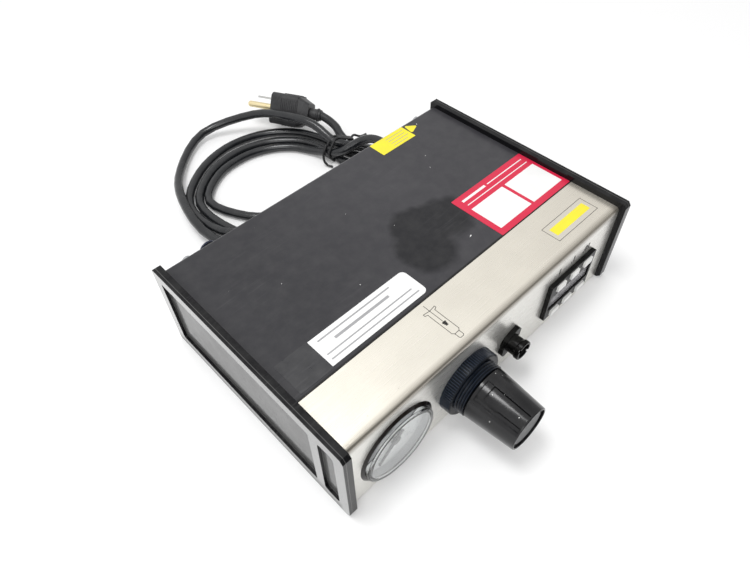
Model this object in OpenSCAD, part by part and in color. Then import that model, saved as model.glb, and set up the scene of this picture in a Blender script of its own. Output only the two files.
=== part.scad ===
/* [Enclosure] */
// Width over both end caps
body_w = 219; // [200:1:250]
// Depth of the end caps, front to back
cap_d = 148.3; // [140:0.1:170]
// Height of the end caps
cap_h = 60.6; // [58:0.1:75]
// Wall of the end caps
cap_t = 5; // [4:0.1:6]
// Height of the end caps above the cover
cap_proud = 3.3; // [2:0.1:5]
// Reach of the end caps in front of the fascia
cap_front = 3.4; // [2:0.1:5]
// Reach of the end caps behind the cover
cap_back = 1.4; // [0.6:0.1:3]
// Depth of the hollows in the end caps' outer faces
hollow_d = 1.8; // [1:0.1:2.5]
// Width of the bar between the two hollows
hollow_bar = 6; // [4:0.1:8]
// Depth of the short front hollow, along the side
hollow_front = 10.4; // [8:0.1:14]
// Width of the plain border round the hollows
hollow_edge = 6.6; // [5:0.1:8]
// Reach of the locating rim inside each end cap
rim_reach = 6; // [4:0.5:8]
// Wall of the locating rim
rim_t = 2; // [1.5:0.1:3]
// Thickness of the sheet metal
sheet_t = 1.2; // [0.8:0.1:1.6]
// Outer radius of the sheet metal's bends
bend_r = 2.5; // [2:0.1:4]
// Depth of the steel strip on top, behind the fascia
strip_d = 32.4; // [25:0.1:45]
// Height of the base sheet above the table
base_lift = 0.5; // [0.3:0.1:1]
// Height of the cover's flange over the rear panel
flange_h = 10; // [8:0.5:11]

/* [Pressure gauge] */
// Distance from the left side to the gauge's axis
gauge_inset = 35.5; // [34.5:0.1:44]
// Radius of the gauge's case
case_r = 22.3; // [19:0.1:22.4]
// Depth of the gauge's case behind the fascia
case_d = 26; // [24:0.5:32]
// Wall of the gauge's case
case_t = 1.4; // [1:0.1:1.8]
// Gap between the case and the base sheet
case_gap = 0.4; // [0.2:0.1:2]
// Width of the bezel ring outside the case
bezel_w = 1.7; // [1.2:0.1:2.5]
// Height of the bezel ring
bezel_h = 1.2; // [1:0.1:2]
// Height of the lens in front of the fascia
lens_h = 3.5; // [3:0.1:6]
// Depth of the dial's face behind the fascia
dial_depth = 3.5; // [3:0.1:5]
// Radius of the pointer's spindle
spindle_r = 0.8; // [0.6:0.1:1]

/* [Regulator] */
// Distance from the gauge's axis to the regulator's axis
regulator_step = 48.8; // [47.5:0.1:52]
// Height of the regulator's axis
regulator_z = 25.5; // [24:0.1:30]
// Outer radius of the panel thread
thread_r = 15.5; // [14.5:0.1:16]
// Reach of the thread in front of the fascia
thread_reach = 11.5; // [10:0.1:11.6]
// Pitch of the thread
thread_pitch = 1.5; // [1:0.25:2]
// Radius of the panel nut at the fascia
nut_r = 19.2; // [18.6:0.1:20]
// Thickness of the panel nut
nut_h = 6.6; // [5:0.1:8]
// Number of grip ribs round the panel nut
nut_ribs = 84; // [60:2:96]
// Depth of the grip ribs
rib_d = 0.55; // [0.3:0.05:0.6]
// Radius of the neck that the knob slides over
neck_r = 12; // [10.5:0.1:12.2]
// Reach of the neck in front of the fascia
neck_reach = 21; // [18:0.5:22]
// Radius of the adjusting stem
stem_r = 4; // [3:0.1:5]
// Reach of the knob in front of the fascia
knob_reach = 40.4; // [38:0.1:46]
// Start of the knob in front of the fascia
knob_start = 12.1; // [12:0.1:13]
// Radius of the knob at its start
knob_base_r = 15; // [14.6:0.1:16]
// Radius of the knob at its tip
knob_tip_r = 12.6; // [12.2:0.1:14]
// Depth of the knob's grip panels
panel_d = 0.8; // [0.4:0.1:1]
// Travel of the knob when it is pulled to unlock
knob_pull = 3; // [2:0.5:4]
// Width of the regulator's body
valve_w = 38; // [32:0.5:38.5]
// Depth of the regulator's body behind the fascia
valve_d = 48; // [44:0.5:52]

/* [Air outlet] */
// Distance from the regulator's axis to the outlet's axis
outlet_step = 35.5; // [33:0.1:38]
// Height of the outlet's axis
outlet_z = 23.7; // [20:0.1:30]
// Bore of the outlet
outlet_bore = 4.5; // [3.8:0.1:4.7]
// Outer radius of the coupling
coupling_r = 5.6; // [5.4:0.1:6.2]
// Reach of the coupling in front of the fascia
coupling_reach = 10.9; // [9:0.1:14]
// Thickness of the outlet's flange
ear_t = 2.8; // [2:0.1:3.5]
// Half length of the outlet's flange
ear_reach = 9.5; // [8.6:0.1:11]

/* [Digit switch] */
// Distance from the right side to the middle of the digit switch
switch_inset = 46.2; // [40:0.1:50]
// Height of the digit switch's middle
switch_z = 26.45; // [24:0.05:30]
// Width of one digit's module
module_w = 12.7; // [11.8:0.1:13.2]
// Width of the switch's frame at each side of the modules
frame_side = 2.15; // [1.8:0.05:3]
// Height of the switch's frame
switch_h = 28.5; // [28.2:0.1:32]
// Height of the frame in front of the fascia
switch_front = 2.7; // [2:0.1:3.5]
// Depth of the housing behind the fascia
switch_d = 26; // [25:0.5:32]
// Height of the window
window_h = 11.2; // [9:0.1:12]
// Width of each button
button_w = 7.2; // [5:0.1:7.8]
// Height of each button
button_h = 4; // [3:0.1:4.2]
// Travel of each button
button_travel = 1.2; // [0.8:0.1:1.4]
// Radius of the digit wheels
wheel_r = 10; // [8.5:0.1:10.2]
// Radius of the digit wheels' spindle
axle_r = 1.5; // [1.2:0.1:2]

/* [Rear fittings] */
// Reach of the rear fittings behind the end caps
rear_reach = 16.7; // [15:0.1:20]
// Height of the rear fittings' axes
rear_z = 34; // [32:0.5:34.5]
// Place of the air inlet
inlet_x = -70; // [-74:1:-60]
// Place of the exhaust muffler
muffler_x = -30; // [-36:1:-24]
// Place of the foot switch socket
socket_x = 2; // [-4:1:8]
// Place of the power switch
power_x = 30; // [26:1:34]
// Place of the fuse holder
fuse_x = 58; // [54:1:62]
// Place of the mains lead's strain relief
relief_x = 84; // [84:1:84]
// Height of the strain relief
relief_z = 24; // [24:1:24]
// Bore of the air inlet, for a 6 mm tube
inlet_bore = 3.05; // [3:0.05:3.1]
// Bore of the foot switch socket
socket_bore = 3.2; // [3.1:0.05:3.3]

/* [Mains lead] */
// Diameter of the cord
cord_d = 6.4; // [6.4:0.1:6.4]
// Width of the plug's body
plug_w = 24; // [22:0.5:26]
// Thickness of the plug's body
plug_t = 20; // [18:0.5:22]

/* [Hidden] */
$fn = 64;
slack = 0.1;
running = 0.05;

// Planes of the enclosure, with Y measured from the middle of the overall depth
overall_d = knob_reach - cap_front + cap_d + rear_reach;
fascia_y = -overall_d / 2 + knob_reach;
cap_y0 = fascia_y - cap_front;
cap_y1 = cap_y0 + cap_d;
rear_y = cap_y1 - cap_back;
panel_y = rear_y - sheet_t;
top_z = cap_h - cap_proud;
base_top = base_lift + sheet_t;
inner_w = body_w - 2 * cap_t;
sheet_w = inner_w - 2 * slack;
seam_y = fascia_y + strip_d;
rim_x = body_w / 2 - cap_t - rim_reach;
lip_w = 2 * rim_x - 4;
lip_h = 4.6;
rear_lip_h = 8;
tongue_d = 8;
seam_gap = 0.2;

// Cap screws, driven outward from inside through ears of the base
ear_w = 12;
ear_h = 16;
ear_y = [fascia_y + 21, panel_y - 22];
cap_screw_z = 10;
screw_r = 1.5;
head_r = 2.8;
head_h = 2;
boss_r = 4;
rear_screw_x = rim_x - 8.5;
rear_screw_z = [base_lift + rear_lip_h / 2 + 0.8, top_z - flange_h / 2];

// Gauge
gauge_x = -body_w / 2 + gauge_inset;
regulator_x = gauge_x + regulator_step;
outlet_x = regulator_x + outlet_step;
gauge_z = base_top + case_gap + case_r;
lens_r = case_r - 0.3;
lens_t = 1.4;
lens_edge = 2.3;
case_rim = 0.3;
dial_t = 0.8;
dial_r = case_r - case_t - 0.3;
case_step = 1.5;
needle_z = -dial_depth + 0.9;
needle_t = 1;
needle_l = dial_r - 4.5;
needle_tail = 6;
plate_z = [-dial_depth - 4, -dial_depth - 10];
plate_t = 1;
plate_r = 8.5;
tube_coil_r = 14.5;
tube_flat = [1.4, 3];
socket_z = -case_d + 7;
gauge_stem_r = 5;
gauge_stem_l = 12;
clamp_t = 1.2;
clamp_w = 10;
clamp_turn = 45;
clamp_back = case_d + 4;
stud_r = 1.5;
stud_x = 13;

// Regulator
nut_taper = 0.15;
nut_edge = 0.7;
bonnet_r = min(18.5, nut_r - 0.7);
bonnet_d = 9;
bonnet_cavity_r = 10;
bonnet_cavity_top = 8;
hub_start = neck_reach + 2;
hex_r = stem_r;
hex_start = neck_reach + 0.6;
hex_end = max(knob_reach - 5.4, hub_start + knob_pull + 1);
hub_r = 8;
sleeve_r = neck_r + 0.3;
end_wall = 2.4;
disc_r = knob_tip_r - 2.8;
disc_t = 1;
disc_sink = 1;
groove_r = knob_tip_r - 1;
groove_floor = 1.5;
knob_inner_end = knob_reach - disc_sink - disc_t - end_wall;
panel_angles = [117, 237, 357];
panel_span = 47;
pad_span = 32;
pad_shift = 5;
slot_span = 4;
slot_shift = 11;
slot_d = 1.3;
panel_z = [knob_start + 1.8, knob_reach - 1];
pad_z = knob_start + 6.3;
slot_end = knob_start + 14.3;
port_z = valve_d - 10;
port_r = 3;
seat_r = 9;

// Outlet
coupling_flare = 0.3;
notch_w = 1.6;
notch_d = 0.7;
coupling_waist = coupling_reach - 2.5;
shank_r = coupling_r - 0.4;
shank_l = 12;
tail_l = 24;
tail_r = 2.2;
tail_bore = 1.4;
bore_floor = -3;
ear_turn = 50;
ear_end_r = 3;
ear_mid_r = coupling_r + 1;

// Digit switch
switch_x = body_w / 2 - switch_inset;
digits = 3;
bank_w = digits * module_w;
switch_w = bank_w + 2 * frame_side;
housing_w = bank_w + 1.9;
housing_h = switch_h - 1.3;
window_w = bank_w + 0.9;
window_y = -1.05;
window_sink = 1;
window_t = 1;
wall_back = -1;
wheel_y = window_y;
wheel_z = wall_back - 0.6 - wheel_r;
wheel_w = module_w - 4.3;
ratchet_t = 0.9;
ratchet_r = wheel_r - 1.4;
chamber_w = module_w - 2.1;
chamber_gap = 0.55;
row_y = switch_h / 2 - button_h / 2 - 1.6;
button_front = 4;
lip_t = 1.3;
lip_side = 0.7;

// Rear fittings
air_reach = rear_reach + cap_back + sheet_t;
hex_af = 14;
inlet_hex_h = 6;
inlet_body_r = 6.8;
collar_flange_t = 1.2;
collar_travel = 1;
collar_gap = collar_travel + 0.3;
inlet_body_h = air_reach - collar_flange_t - collar_gap;
sleeve_out_r = 4.5;
sleeve_l = 4;
inlet_tail = 15;
muffler_tail = 12;
muffler_r = 5.5;
muffler_h = 15;
fuse_flange_r = 8.5;
fuse_flange_t = 2.5;
fuse_body_r = 6.2;
fuse_d = 28;
fuse_bore = 4.2;
power_w = 15;
power_h = 21;
power_t = 2;
power_d = 15;
rocker_w = 9.6;
rocker_h = 16.4;
rocker_tilt = 10;
pivot_z = -1.5;
pivot_r = 1;
bush_r = 4.6;
bush_h = 5;
jack_w = 13;
jack_d = 24;
relief_l = 25.3;
relief_r = [5.8, 4.1];
relief_flange_r = 7;

// Board, transformer, valve and air tubes
board_edge = 19.5;
board_w = 66;
board_front = 66.6;
board_d = 52;
board_x = [-body_w / 2 + board_edge, -body_w / 2 + board_edge + board_w];
board_y = [fascia_y + board_front, fascia_y + board_front + board_d];
board_z = base_top + 8.3;
board_t = 1.6;
pillar_r = 3;
pillar_in = 5;
// Each chip: its place on the board, then its width, depth and height
chips = [[8, 30, 20, 8, 4], [34, 16, 14, 8, 4], [48, 30, 12, 14, 10]];
can_r = 4;
can_h = 11;
can_pitch = 11;
can_in = [10, 7];
core_w = 48;
core_shift = 2.25;
core_front = 64.6;
core_d = 32;
core_h = 40;
foot_h = 1.3;
core_y = [fascia_y + core_front, fascia_y + core_front + core_d];
core_z = [base_top + foot_h, base_top + foot_h + core_h];
coil_out = 6;
solenoid_side = 5.3;
solenoid_w = 22;
solenoid_front = 50.6;
solenoid_d = 44;
solenoid_h = 18;
valve_coil_w = 18;
valve_coil_h = 17;
valve_coil_in = [12, 6];
valve_foot_w = 16;
valve_foot_l = 4;
valve_foot_in = 4;
solenoid_x = [outlet_x - solenoid_side, outlet_x - solenoid_side + solenoid_w];
core_mid = (solenoid_x[1] + body_w / 2 - cap_t) / 2 + core_shift;
core_x = [core_mid - core_w / 2, core_mid + core_w / 2];
solenoid_y = [fascia_y + solenoid_front, fascia_y + solenoid_front + solenoid_d];
solenoid_z = [16, 16 + solenoid_h];
air_r = 3;
sense_r = 2;
elbow = 0.6;

// Mains lead, measured on the table it lies on
cord_r = cord_d / 2;
coil_mid = [22, 145];
turn_angles = [0, 24, 48, 72, 98, 126, 156, 190, 226, 262, 288, 306, 320, 333, 347];
turn_radii = [
    [40.5, 39.5, 42, 45, 49, 54.5, 58.5, 43.5, 33.5, 33, 36.5, 52.5, 58.5, 56, 46],
    [44.5, 47.5, 50.5, 53.5, 57, 61.5, 65.5, 59.5, 61.5, 50.5, 52, 65.5, 77, 74, 58.5],
    [53, 56.5, 61.5, 65.5, 68, 69.5, 72.5, 67, 54.5, 43, 45, 60, 74.5, 74.5, 61.5],
    [46, 46, 52.5, 73.5, 93.5, 84, 76, 75, 68.5, 57.5, 60, 70.5, 85, 85.5, 71.5]];
turn_heights = [
    [8.5, 4, 3.5, 3.2, 3.2, 3.2, 3.2, 3.2, 3.2, 3.2, 3.2, 3.2, 3.2, 3.2, 3.2],
    [3.2, 3.2, 3.2, 3.2, 3.2, 3.2, 3.2, 3.2, 3.2, 3.2, 3.2, 3.2, 3.2, 3.2, 3.2],
    [3.2, 3.2, 3.2, 3.2, 3.2, 3.5, 4, 7.5, 9.5, 4, 6, 9.5, 9.5, 10, 10],
    [15.5, 23, 24, 17.5, 6.5, 5, 10, 7.5, 4, 3.5, 5, 9.5, 9.5, 6, 4]];
tie_at = [71.8, 145];
tie_turn = 3;
tie_w = 27;
tie_h = 20;
tie_l = 5;
tie_t = 0.7;
tie_tail = [[84.7, 146.5, 8], [96.5, 141, 3.5]];
tail_wire_r = 0.9;
feed_route = [[84, 107, 24], [83.9, 115, 23.8], [82.4, 122.4, 22], [78.3, 128.2, 19],
    [72.4, 131.9, 15.6], [66.5, 135.9, 12.3]];
end_route = [[81.5, 144, 7.6], [80.8, 153.3, 10.5], [83.2, 161.2, 12.5], [83.4, 169.4, 14.4],
    [82.3, 177.1, 15.8]];
plug_at = [63.5, 212.4, 15.8];
plug_heading = -62;
plug_roll = 145;
plug_straight = 22.5;
plug_taper = 31;
plug_l = 40;
plug_nose = 7.5;
blade_gap = 6.35;
blade_l = 17.5;
blade_w = 6.35;
blade_t = 1.5;
blade_back = 4;
pin_r = 2.4;
pin_l = 20.5;
pin_drop = 5.9;

// Placing helpers: local z runs out of the front or the rear, and local y runs up
module facing(x, z) {
    translate([x, fascia_y, z])
        rotate([90, 0, 0])
            children();
}

module rearing(x, z) {
    translate([x, panel_y, z])
        rotate([90, 0, 180])
            children();
}

// Extrudes a profile drawn as (Y, Z) along X, centred on X = 0
module along_x(w) {
    translate([-w / 2, 0, 0])
        rotate([90, 0, 90])
            linear_extrude(w)
                children();
}

function span(mid, half) = [mid - half, mid + half];

module round_rect(w, h, r) {
    square([w - 2 * r, h], center = true);
    square([w, h - 2 * r], center = true);
    for (sx = [-1, 1], sy = [-1, 1])
        translate([sx * (w / 2 - r), sy * (h / 2 - r)])
            circle(r);
}

module box(x, y, z) {
    translate([x[0], y[0], z[0]])
        cube([x[1] - x[0], y[1] - y[0], z[1] - z[0]]);
}

module disc(r, z0, z1) {
    translate([0, 0, z0])
        cylinder(r = r, h = z1 - z0);
}

module hexagon(af, z0, z1) {
    translate([0, 0, z0])
        cylinder(d = af / cos(30), h = z1 - z0, $fn = 6);
}

// A quarter ring of sheet, bent from +Z towards the side that sy names
module bend(sy) {
    intersection() {
        difference() {
            circle(bend_r);
            circle(bend_r - sheet_t);
        }
        translate([sy > 0 ? 0 : -bend_r, 0])
            square(bend_r);
    }
}

// A round bar from a to b
module bar(a, b, r) {
    d = b - a;
    l = norm(d);
    translate(a)
        rotate([0, acos(d[2] / l), atan2(d[1], d[0])])
            cylinder(r = r, h = l, $fn = 12);
}

// A tube in straight runs, with a round elbow fitting at each corner
module pipe(points, r) {
    for (i = [0:len(points) - 2])
        bar(points[i], points[i + 1], r);
    for (i = [1:len(points) - 2])
        translate(points[i])
            sphere(r + elbow, $fn = 12);
}

function unit(v) = v / norm(v);
function heading_at(p, i) = unit(p[min(i + 1, len(p) - 1)] - p[max(i - 1, 0)]);
function ring_at(p, i, r, n) = let (t = heading_at(p, i), s = unit(cross(t, [0, 0, 1])), u = cross(s, t))
    [for (k = [0:n - 1]) p[i] + r * (cos(360 * k / n) * s + sin(360 * k / n) * u)];

// The points of one turn of the coil, and a smooth line through any points
function turn(t) = [for (i = [0:len(turn_angles) - 1])
    [coil_mid[0] + turn_radii[t][i] * cos(turn_angles[i]),
        coil_mid[1] + turn_radii[t][i] * sin(turn_angles[i]), turn_heights[t][i]]];
function blend(a, b, c, d, t) =
    b + (c - a) * t / 2 + (2 * a - 5 * b + 4 * c - d) * t * t / 2 + (3 * b - a - 3 * c + d) * t * t * t / 2;
function smooth(p, n) = let (m = len(p) - 1)
    [for (i = [0:m - 1], k = [0:n - 1])
        blend(i > 0 ? p[i - 1] : 2 * p[0] - p[1], p[i], p[i + 1],
            i < m - 1 ? p[i + 2] : 2 * p[m] - p[m - 1], k / n), p[m]];

// A round cord swept along its route
module cord(points, n) {
    route = smooth(points, 3);
    m = len(route);
    rings = [for (i = [0:m - 1]) each ring_at(route, i, cord_r, n)];
    walls = [for (i = [0:m - 2], k = [0:n - 1])
        [i * n + k, i * n + (k + 1) % n, (i + 1) * n + (k + 1) % n, (i + 1) * n + k]];
    first = [for (k = [n - 1:-1:0]) k];
    last = [for (k = [0:n - 1]) (m - 1) * n + k];
    polyhedron(points = rings, faces = concat(walls, [first], [last]), convexity = 6);
}

// End caps
module cap_outline() {
    polygon([[cap_y0, 1.9], [cap_y0 + 1.9, 0], [cap_y1 - 0.8, 0], [cap_y1, 0.8], [cap_y1, cap_h - 0.8],
        [cap_y1 - 0.8, cap_h], [cap_y0 + 1.7, cap_h], [cap_y0, cap_h - 2.3]]);
}

module rim_outline(inset) {
    y0 = fascia_y + sheet_t + slack + inset;
    y1 = panel_y - sheet_t - slack - inset;
    z0 = base_top + slack + inset;
    z1 = top_z - sheet_t - slack - inset;
    translate([(y0 + y1) / 2, (z0 + z1) / 2])
        round_rect(y1 - y0, z1 - z0, 1.5);
}

module hollows() {
    front0 = cap_y0 + hollow_edge;
    front1 = front0 + hollow_front;
    rear0 = front1 + hollow_bar;
    rear1 = cap_y1 - hollow_edge;
    z1 = cap_h - hollow_edge;
    mid_z = (hollow_edge + z1) / 2;
    translate([(front0 + front1) / 2, mid_z])
        round_rect(hollow_front, z1 - hollow_edge, 2.5);
    translate([(rear0 + rear1) / 2, mid_z])
        round_rect(rear1 - rear0, z1 - hollow_edge, 1.2);
}

// The cap's outer face lies at x = 0, and x runs into the enclosure
module end_cap() {
    difference() {
        union() {
            translate([cap_t / 2, 0, 0])
                along_x(cap_t)
                    cap_outline();
            translate([cap_t + rim_reach / 2, 0, 0])
                along_x(rim_reach)
                    difference() {
                        rim_outline(0);
                        rim_outline(rim_t);
                    }
            for (y = ear_y)
                translate([cap_t, y, cap_screw_z])
                    rotate([0, 90, 0])
                        cylinder(r = boss_r, h = rim_reach);
        }
        translate([hollow_d / 2, 0, 0])
            along_x(hollow_d + slack)
                hollows();
        for (y = ear_y)
            translate([cap_t, y, cap_screw_z])
                rotate([0, 90, 0])
                    cylinder(r = screw_r + running, h = rim_reach + slack);
    }
}

module end_cap_left() {
    color([0.07, 0.07, 0.08])
        translate([-body_w / 2, 0, 0])
            end_cap();
}

module end_cap_right() {
    color([0.07, 0.07, 0.08])
        mirror([1, 0, 0])
            translate([-body_w / 2, 0, 0])
                end_cap();
}

module at_cap_screws() {
    for (s = [-1, 1], y = ear_y)
        translate([s * rim_x, y, cap_screw_z])
            rotate([0, s * 90, 0])
                children();
}

module chassis() {
    color([0.6, 0.61, 0.62])
        difference() {
            union() {
                box([-sheet_w / 2, sheet_w / 2], [fascia_y + sheet_t, rear_y], [base_lift, base_top]);
                box([regulator_x - bonnet_r - 4, lip_w / 2], [fascia_y + sheet_t, fascia_y + 2 * sheet_t],
                    [base_lift, base_top + lip_h]);
                box([-lip_w / 2, lip_w / 2], [panel_y, rear_y], [base_lift, base_lift + rear_lip_h + 1]);
                for (s = [-1, 1], y = ear_y)
                    translate([s * (rim_x - sheet_t / 2), y, base_lift + ear_h / 2])
                        cube([sheet_t, ear_w, ear_h], center = true);
            }
            for (s = [-1, 1], y = ear_y)
                translate([s * (rim_x + rim_reach / 2), y, base_lift])
                    cube([rim_reach, ear_w, 3 * sheet_t], center = true);
            at_cap_screws()
                disc(screw_r + slack, -2 * sheet_t, sheet_t);
            for (s = [-1, 1])
                rearing(s * rear_screw_x, rear_screw_z[0])
                    disc(screw_r + slack, -slack, 2 * sheet_t);
        }
}

module cap_screws() {
    color([0.75, 0.75, 0.76])
        at_cap_screws() {
            disc(head_r, -sheet_t - head_h, -sheet_t);
            disc(screw_r, -sheet_t, rim_reach - slack);
        }
}

// Steel fascia, with its strip folded back over the top
module front_fascia() {
    color([0.78, 0.76, 0.72])
        difference() {
            along_x(sheet_w) {
                translate([fascia_y, base_lift])
                    square([sheet_t, top_z - bend_r - base_lift]);
                translate([fascia_y + bend_r, top_z - sheet_t])
                    square([strip_d - bend_r, sheet_t]);
                translate([fascia_y + bend_r, top_z - bend_r])
                    bend(-1);
            }
            facing(gauge_x, gauge_z)
                disc(case_r + 0.3, -2 * sheet_t, sheet_t);
            facing(regulator_x, regulator_z)
                disc(thread_r + 0.2, -2 * sheet_t, sheet_t);
            facing(outlet_x, outlet_z)
                disc(shank_r + slack, -2 * sheet_t, sheet_t);
            facing(switch_x, switch_z)
                translate([0, 0, -sheet_t / 2])
                    cube([housing_w + 2 * slack, housing_h + 2 * slack, 3 * sheet_t], center = true);
        }
}

// Painted cover, joggled under the fascia's strip and bent down over the rear panel
module top_cover() {
    tongue_z = top_z - 2 * sheet_t - slack;
    front_y = seam_y + seam_gap;
    color([0.16, 0.16, 0.17])
        difference() {
            union() {
                along_x(sheet_w) {
                    translate([front_y, top_z - sheet_t])
                        square([rear_y - bend_r - front_y, sheet_t]);
                    translate([rear_y - bend_r, top_z - bend_r])
                        bend(1);
                    translate([panel_y, top_z - flange_h])
                        square([sheet_t, flange_h - bend_r]);
                }
                along_x(lip_w) {
                    translate([seam_y - tongue_d, tongue_z])
                        square([tongue_d + seam_gap + 2 * sheet_t, sheet_t]);
                    translate([front_y + sheet_t, tongue_z])
                        square([sheet_t, top_z - tongue_z]);
                }
            }
            for (s = [-1, 1])
                rearing(s * rear_screw_x, rear_screw_z[1])
                    disc(screw_r + slack, -slack, 2 * sheet_t);
        }
}

module rear_panel() {
    z0 = base_top + slack;
    z1 = top_z - bend_r - slack;
    color([0.2, 0.2, 0.21])
        difference() {
            box([-sheet_w / 2, sheet_w / 2], [panel_y - sheet_t, panel_y], [z0, z1]);
            for (s = [-1, 1], z = rear_screw_z)
                rearing(s * rear_screw_x, z)
                    disc(screw_r + running, -2 * sheet_t, slack);
            rearing(inlet_x, rear_z)
                disc(gauge_stem_r + slack, -2 * sheet_t, slack);
            rearing(muffler_x, rear_z)
                disc(gauge_stem_r + slack, -2 * sheet_t, slack);
            rearing(socket_x, rear_z)
                disc(bush_r + slack, -2 * sheet_t, slack);
            rearing(fuse_x, rear_z)
                disc(fuse_body_r + slack, -2 * sheet_t, slack);
            rearing(relief_x, relief_z)
                disc(relief_r[0] + slack, -2 * sheet_t, slack);
            rearing(power_x, rear_z)
                cube([power_w - 2 + 2 * slack, power_h - 2 + 2 * slack, 4 * sheet_t], center = true);
        }
}

module rear_screws() {
    color([0.3, 0.3, 0.31])
        for (s = [-1, 1], z = rear_screw_z)
            rearing(s * rear_screw_x, z) {
                disc(head_r, sheet_t, sheet_t + head_h);
                disc(screw_r, -3 * sheet_t, sheet_t);
            }
}

// Pressure gauge
module gauge_case() {
    color([0.1, 0.1, 0.11])
        facing(gauge_x, gauge_z)
            difference() {
                disc(case_r, -case_d, case_rim);
                disc(case_r - case_t, -dial_depth - dial_t, case_rim + slack);
                disc(case_r - case_t - case_step, -case_d + case_t, 0);
                disc(gauge_stem_r + slack, -case_d - slack, 0);
                for (s = [-1, 1])
                    rotate([0, 0, clamp_turn])
                        translate([s * stud_x, 0, 0])
                            disc(stud_r + running, -case_d - slack, -case_d + 1);
            }
}

module gauge_bezel() {
    color([0.17, 0.13, 0.11])
        facing(gauge_x, gauge_z)
            rotate_extrude($fn = 96)
                polygon([[case_r + running, 0], [case_r + bezel_w, 0], [lens_r + 0.6, bezel_h],
                    [lens_r + slack, bezel_h], [lens_r + slack, case_rim + running],
                    [case_r + running, case_rim + running]]);
}

module gauge_lens() {
    color([0.9, 0.93, 0.95, 0.35])
        facing(gauge_x, gauge_z)
            rotate_extrude($fn = 96)
                polygon([[lens_r - lens_t, case_rim], [lens_r, case_rim], [lens_r, lens_h - 0.6],
                    [lens_r - 0.7, lens_h - 0.25], [lens_r - lens_edge, lens_h], [0, lens_h],
                    [0, lens_h - lens_t], [lens_r - lens_edge, lens_h - lens_t]]);
}

module gauge_dial() {
    color([0.88, 0.89, 0.88])
        facing(gauge_x, gauge_z)
            difference() {
                disc(dial_r, -dial_depth - dial_t, -dial_depth);
                disc(spindle_r + 0.4, -dial_depth - 2 * dial_t, 0);
            }
}

// Pointer with its hub, tail and spindle
module gauge_needle() {
    hub = 2.6;
    color([0.1, 0.1, 0.1])
        facing(gauge_x, gauge_z) {
            disc(hub, needle_z, needle_z + needle_t + 0.4);
            disc(spindle_r, plate_z[1] - plate_t, needle_z);
            rotate([0, 0, 135])
                translate([0, 0, needle_z])
                    linear_extrude(needle_t)
                        polygon([[-1.1, 0], [-0.25, needle_l], [0.25, needle_l], [1.1, 0],
                            [1.6, -needle_tail], [-1.6, -needle_tail]]);
        }
}

module gauge_movement() {
    color([0.8, 0.65, 0.35])
        facing(gauge_x, gauge_z)
            difference() {
                union() {
                    for (z = plate_z)
                        disc(plate_r, z - plate_t, z);
                    for (a = [0:120:240])
                        rotate([0, 0, a + 30])
                            translate([plate_r - 2, 0, 0])
                                disc(1.2, plate_z[1], plate_z[0] - plate_t);
                    for (s = [-1, 1])
                        translate([s * 3.4, 0, 0])
                            disc(1.4, socket_z, plate_z[1] - plate_t);
                }
                disc(spindle_r + running, -case_d, 0);
            }
}

// Flattened tube bent to a C, soldered to the stem's block
module bourdon_tube() {
    color([0.8, 0.6, 0.4])
        facing(gauge_x, gauge_z)
            translate([0, 0, socket_z + tube_flat[1]])
                rotate([0, 0, -100])
                    rotate_extrude(angle = 260)
                        translate([tube_coil_r, 0])
                            square([2 * tube_flat[0], 2 * tube_flat[1]], center = true);
}

module gauge_stem() {
    color([0.8, 0.65, 0.35])
        facing(gauge_x, gauge_z) {
            disc(gauge_stem_r, -case_d - gauge_stem_l, -case_d + case_t);
            disc(7, -case_d + case_t, socket_z);
            box([-3, 3], [-tube_coil_r - tube_flat[0], 0], [-case_d + case_t, socket_z]);
            hexagon(hex_af - 2, -case_d - 8, -case_d - 5.6);
        }
}

// Strap that pulls the case against the fascia from behind
module gauge_clamp() {
    leg = case_r + 0.5 + clamp_t;
    color([0.65, 0.66, 0.68])
        facing(gauge_x, gauge_z)
            rotate([0, 0, clamp_turn]) {
                difference() {
                    union() {
                        for (s = [-1, 1])
                            translate([s * (leg - clamp_t / 2), 0, -(sheet_t + clamp_back) / 2])
                                cube([clamp_t, clamp_w, clamp_back - sheet_t], center = true);
                        translate([0, 0, -clamp_back - clamp_t / 2])
                            cube([2 * leg, clamp_w, clamp_t], center = true);
                        translate([0, 0, -clamp_back - clamp_t / 2])
                            cylinder(r = gauge_stem_r + 3, h = clamp_t, center = true);
                    }
                    disc(gauge_stem_r + 0.3, -clamp_back - 2 * clamp_t, -clamp_back + clamp_t);
                }
                for (s = [-1, 1])
                    translate([s * stud_x, 0, 0]) {
                        disc(stud_r, -clamp_back - clamp_t - 5, -case_d + 1);
                        hexagon(5.5, -clamp_back - clamp_t - 2.4, -clamp_back - clamp_t);
                    }
            }
}

// Regulator
module regulator_body() {
    color([0.55, 0.56, 0.58])
        facing(regulator_x, regulator_z)
            difference() {
                union() {
                    translate([0, 0, -valve_d])
                        linear_extrude(valve_d - bonnet_d - 4)
                            round_rect(valve_w, valve_w, 4);
                    disc(bonnet_r, -bonnet_d - 4, -bonnet_d);
                }
                disc(bonnet_cavity_r, -bonnet_d - 14, -bonnet_d + slack);
                for (s = [-1, 1])
                    translate([0, 0, -port_z])
                        rotate([0, s * 90, 0])
                            disc(port_r + running, valve_w / 2 - 8, valve_w / 2 + slack);
                translate([-valve_w / 4, -valve_w / 4, 0])
                    disc(sense_r + running, -valve_d - slack, -valve_d + 8);
            }
}

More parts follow.
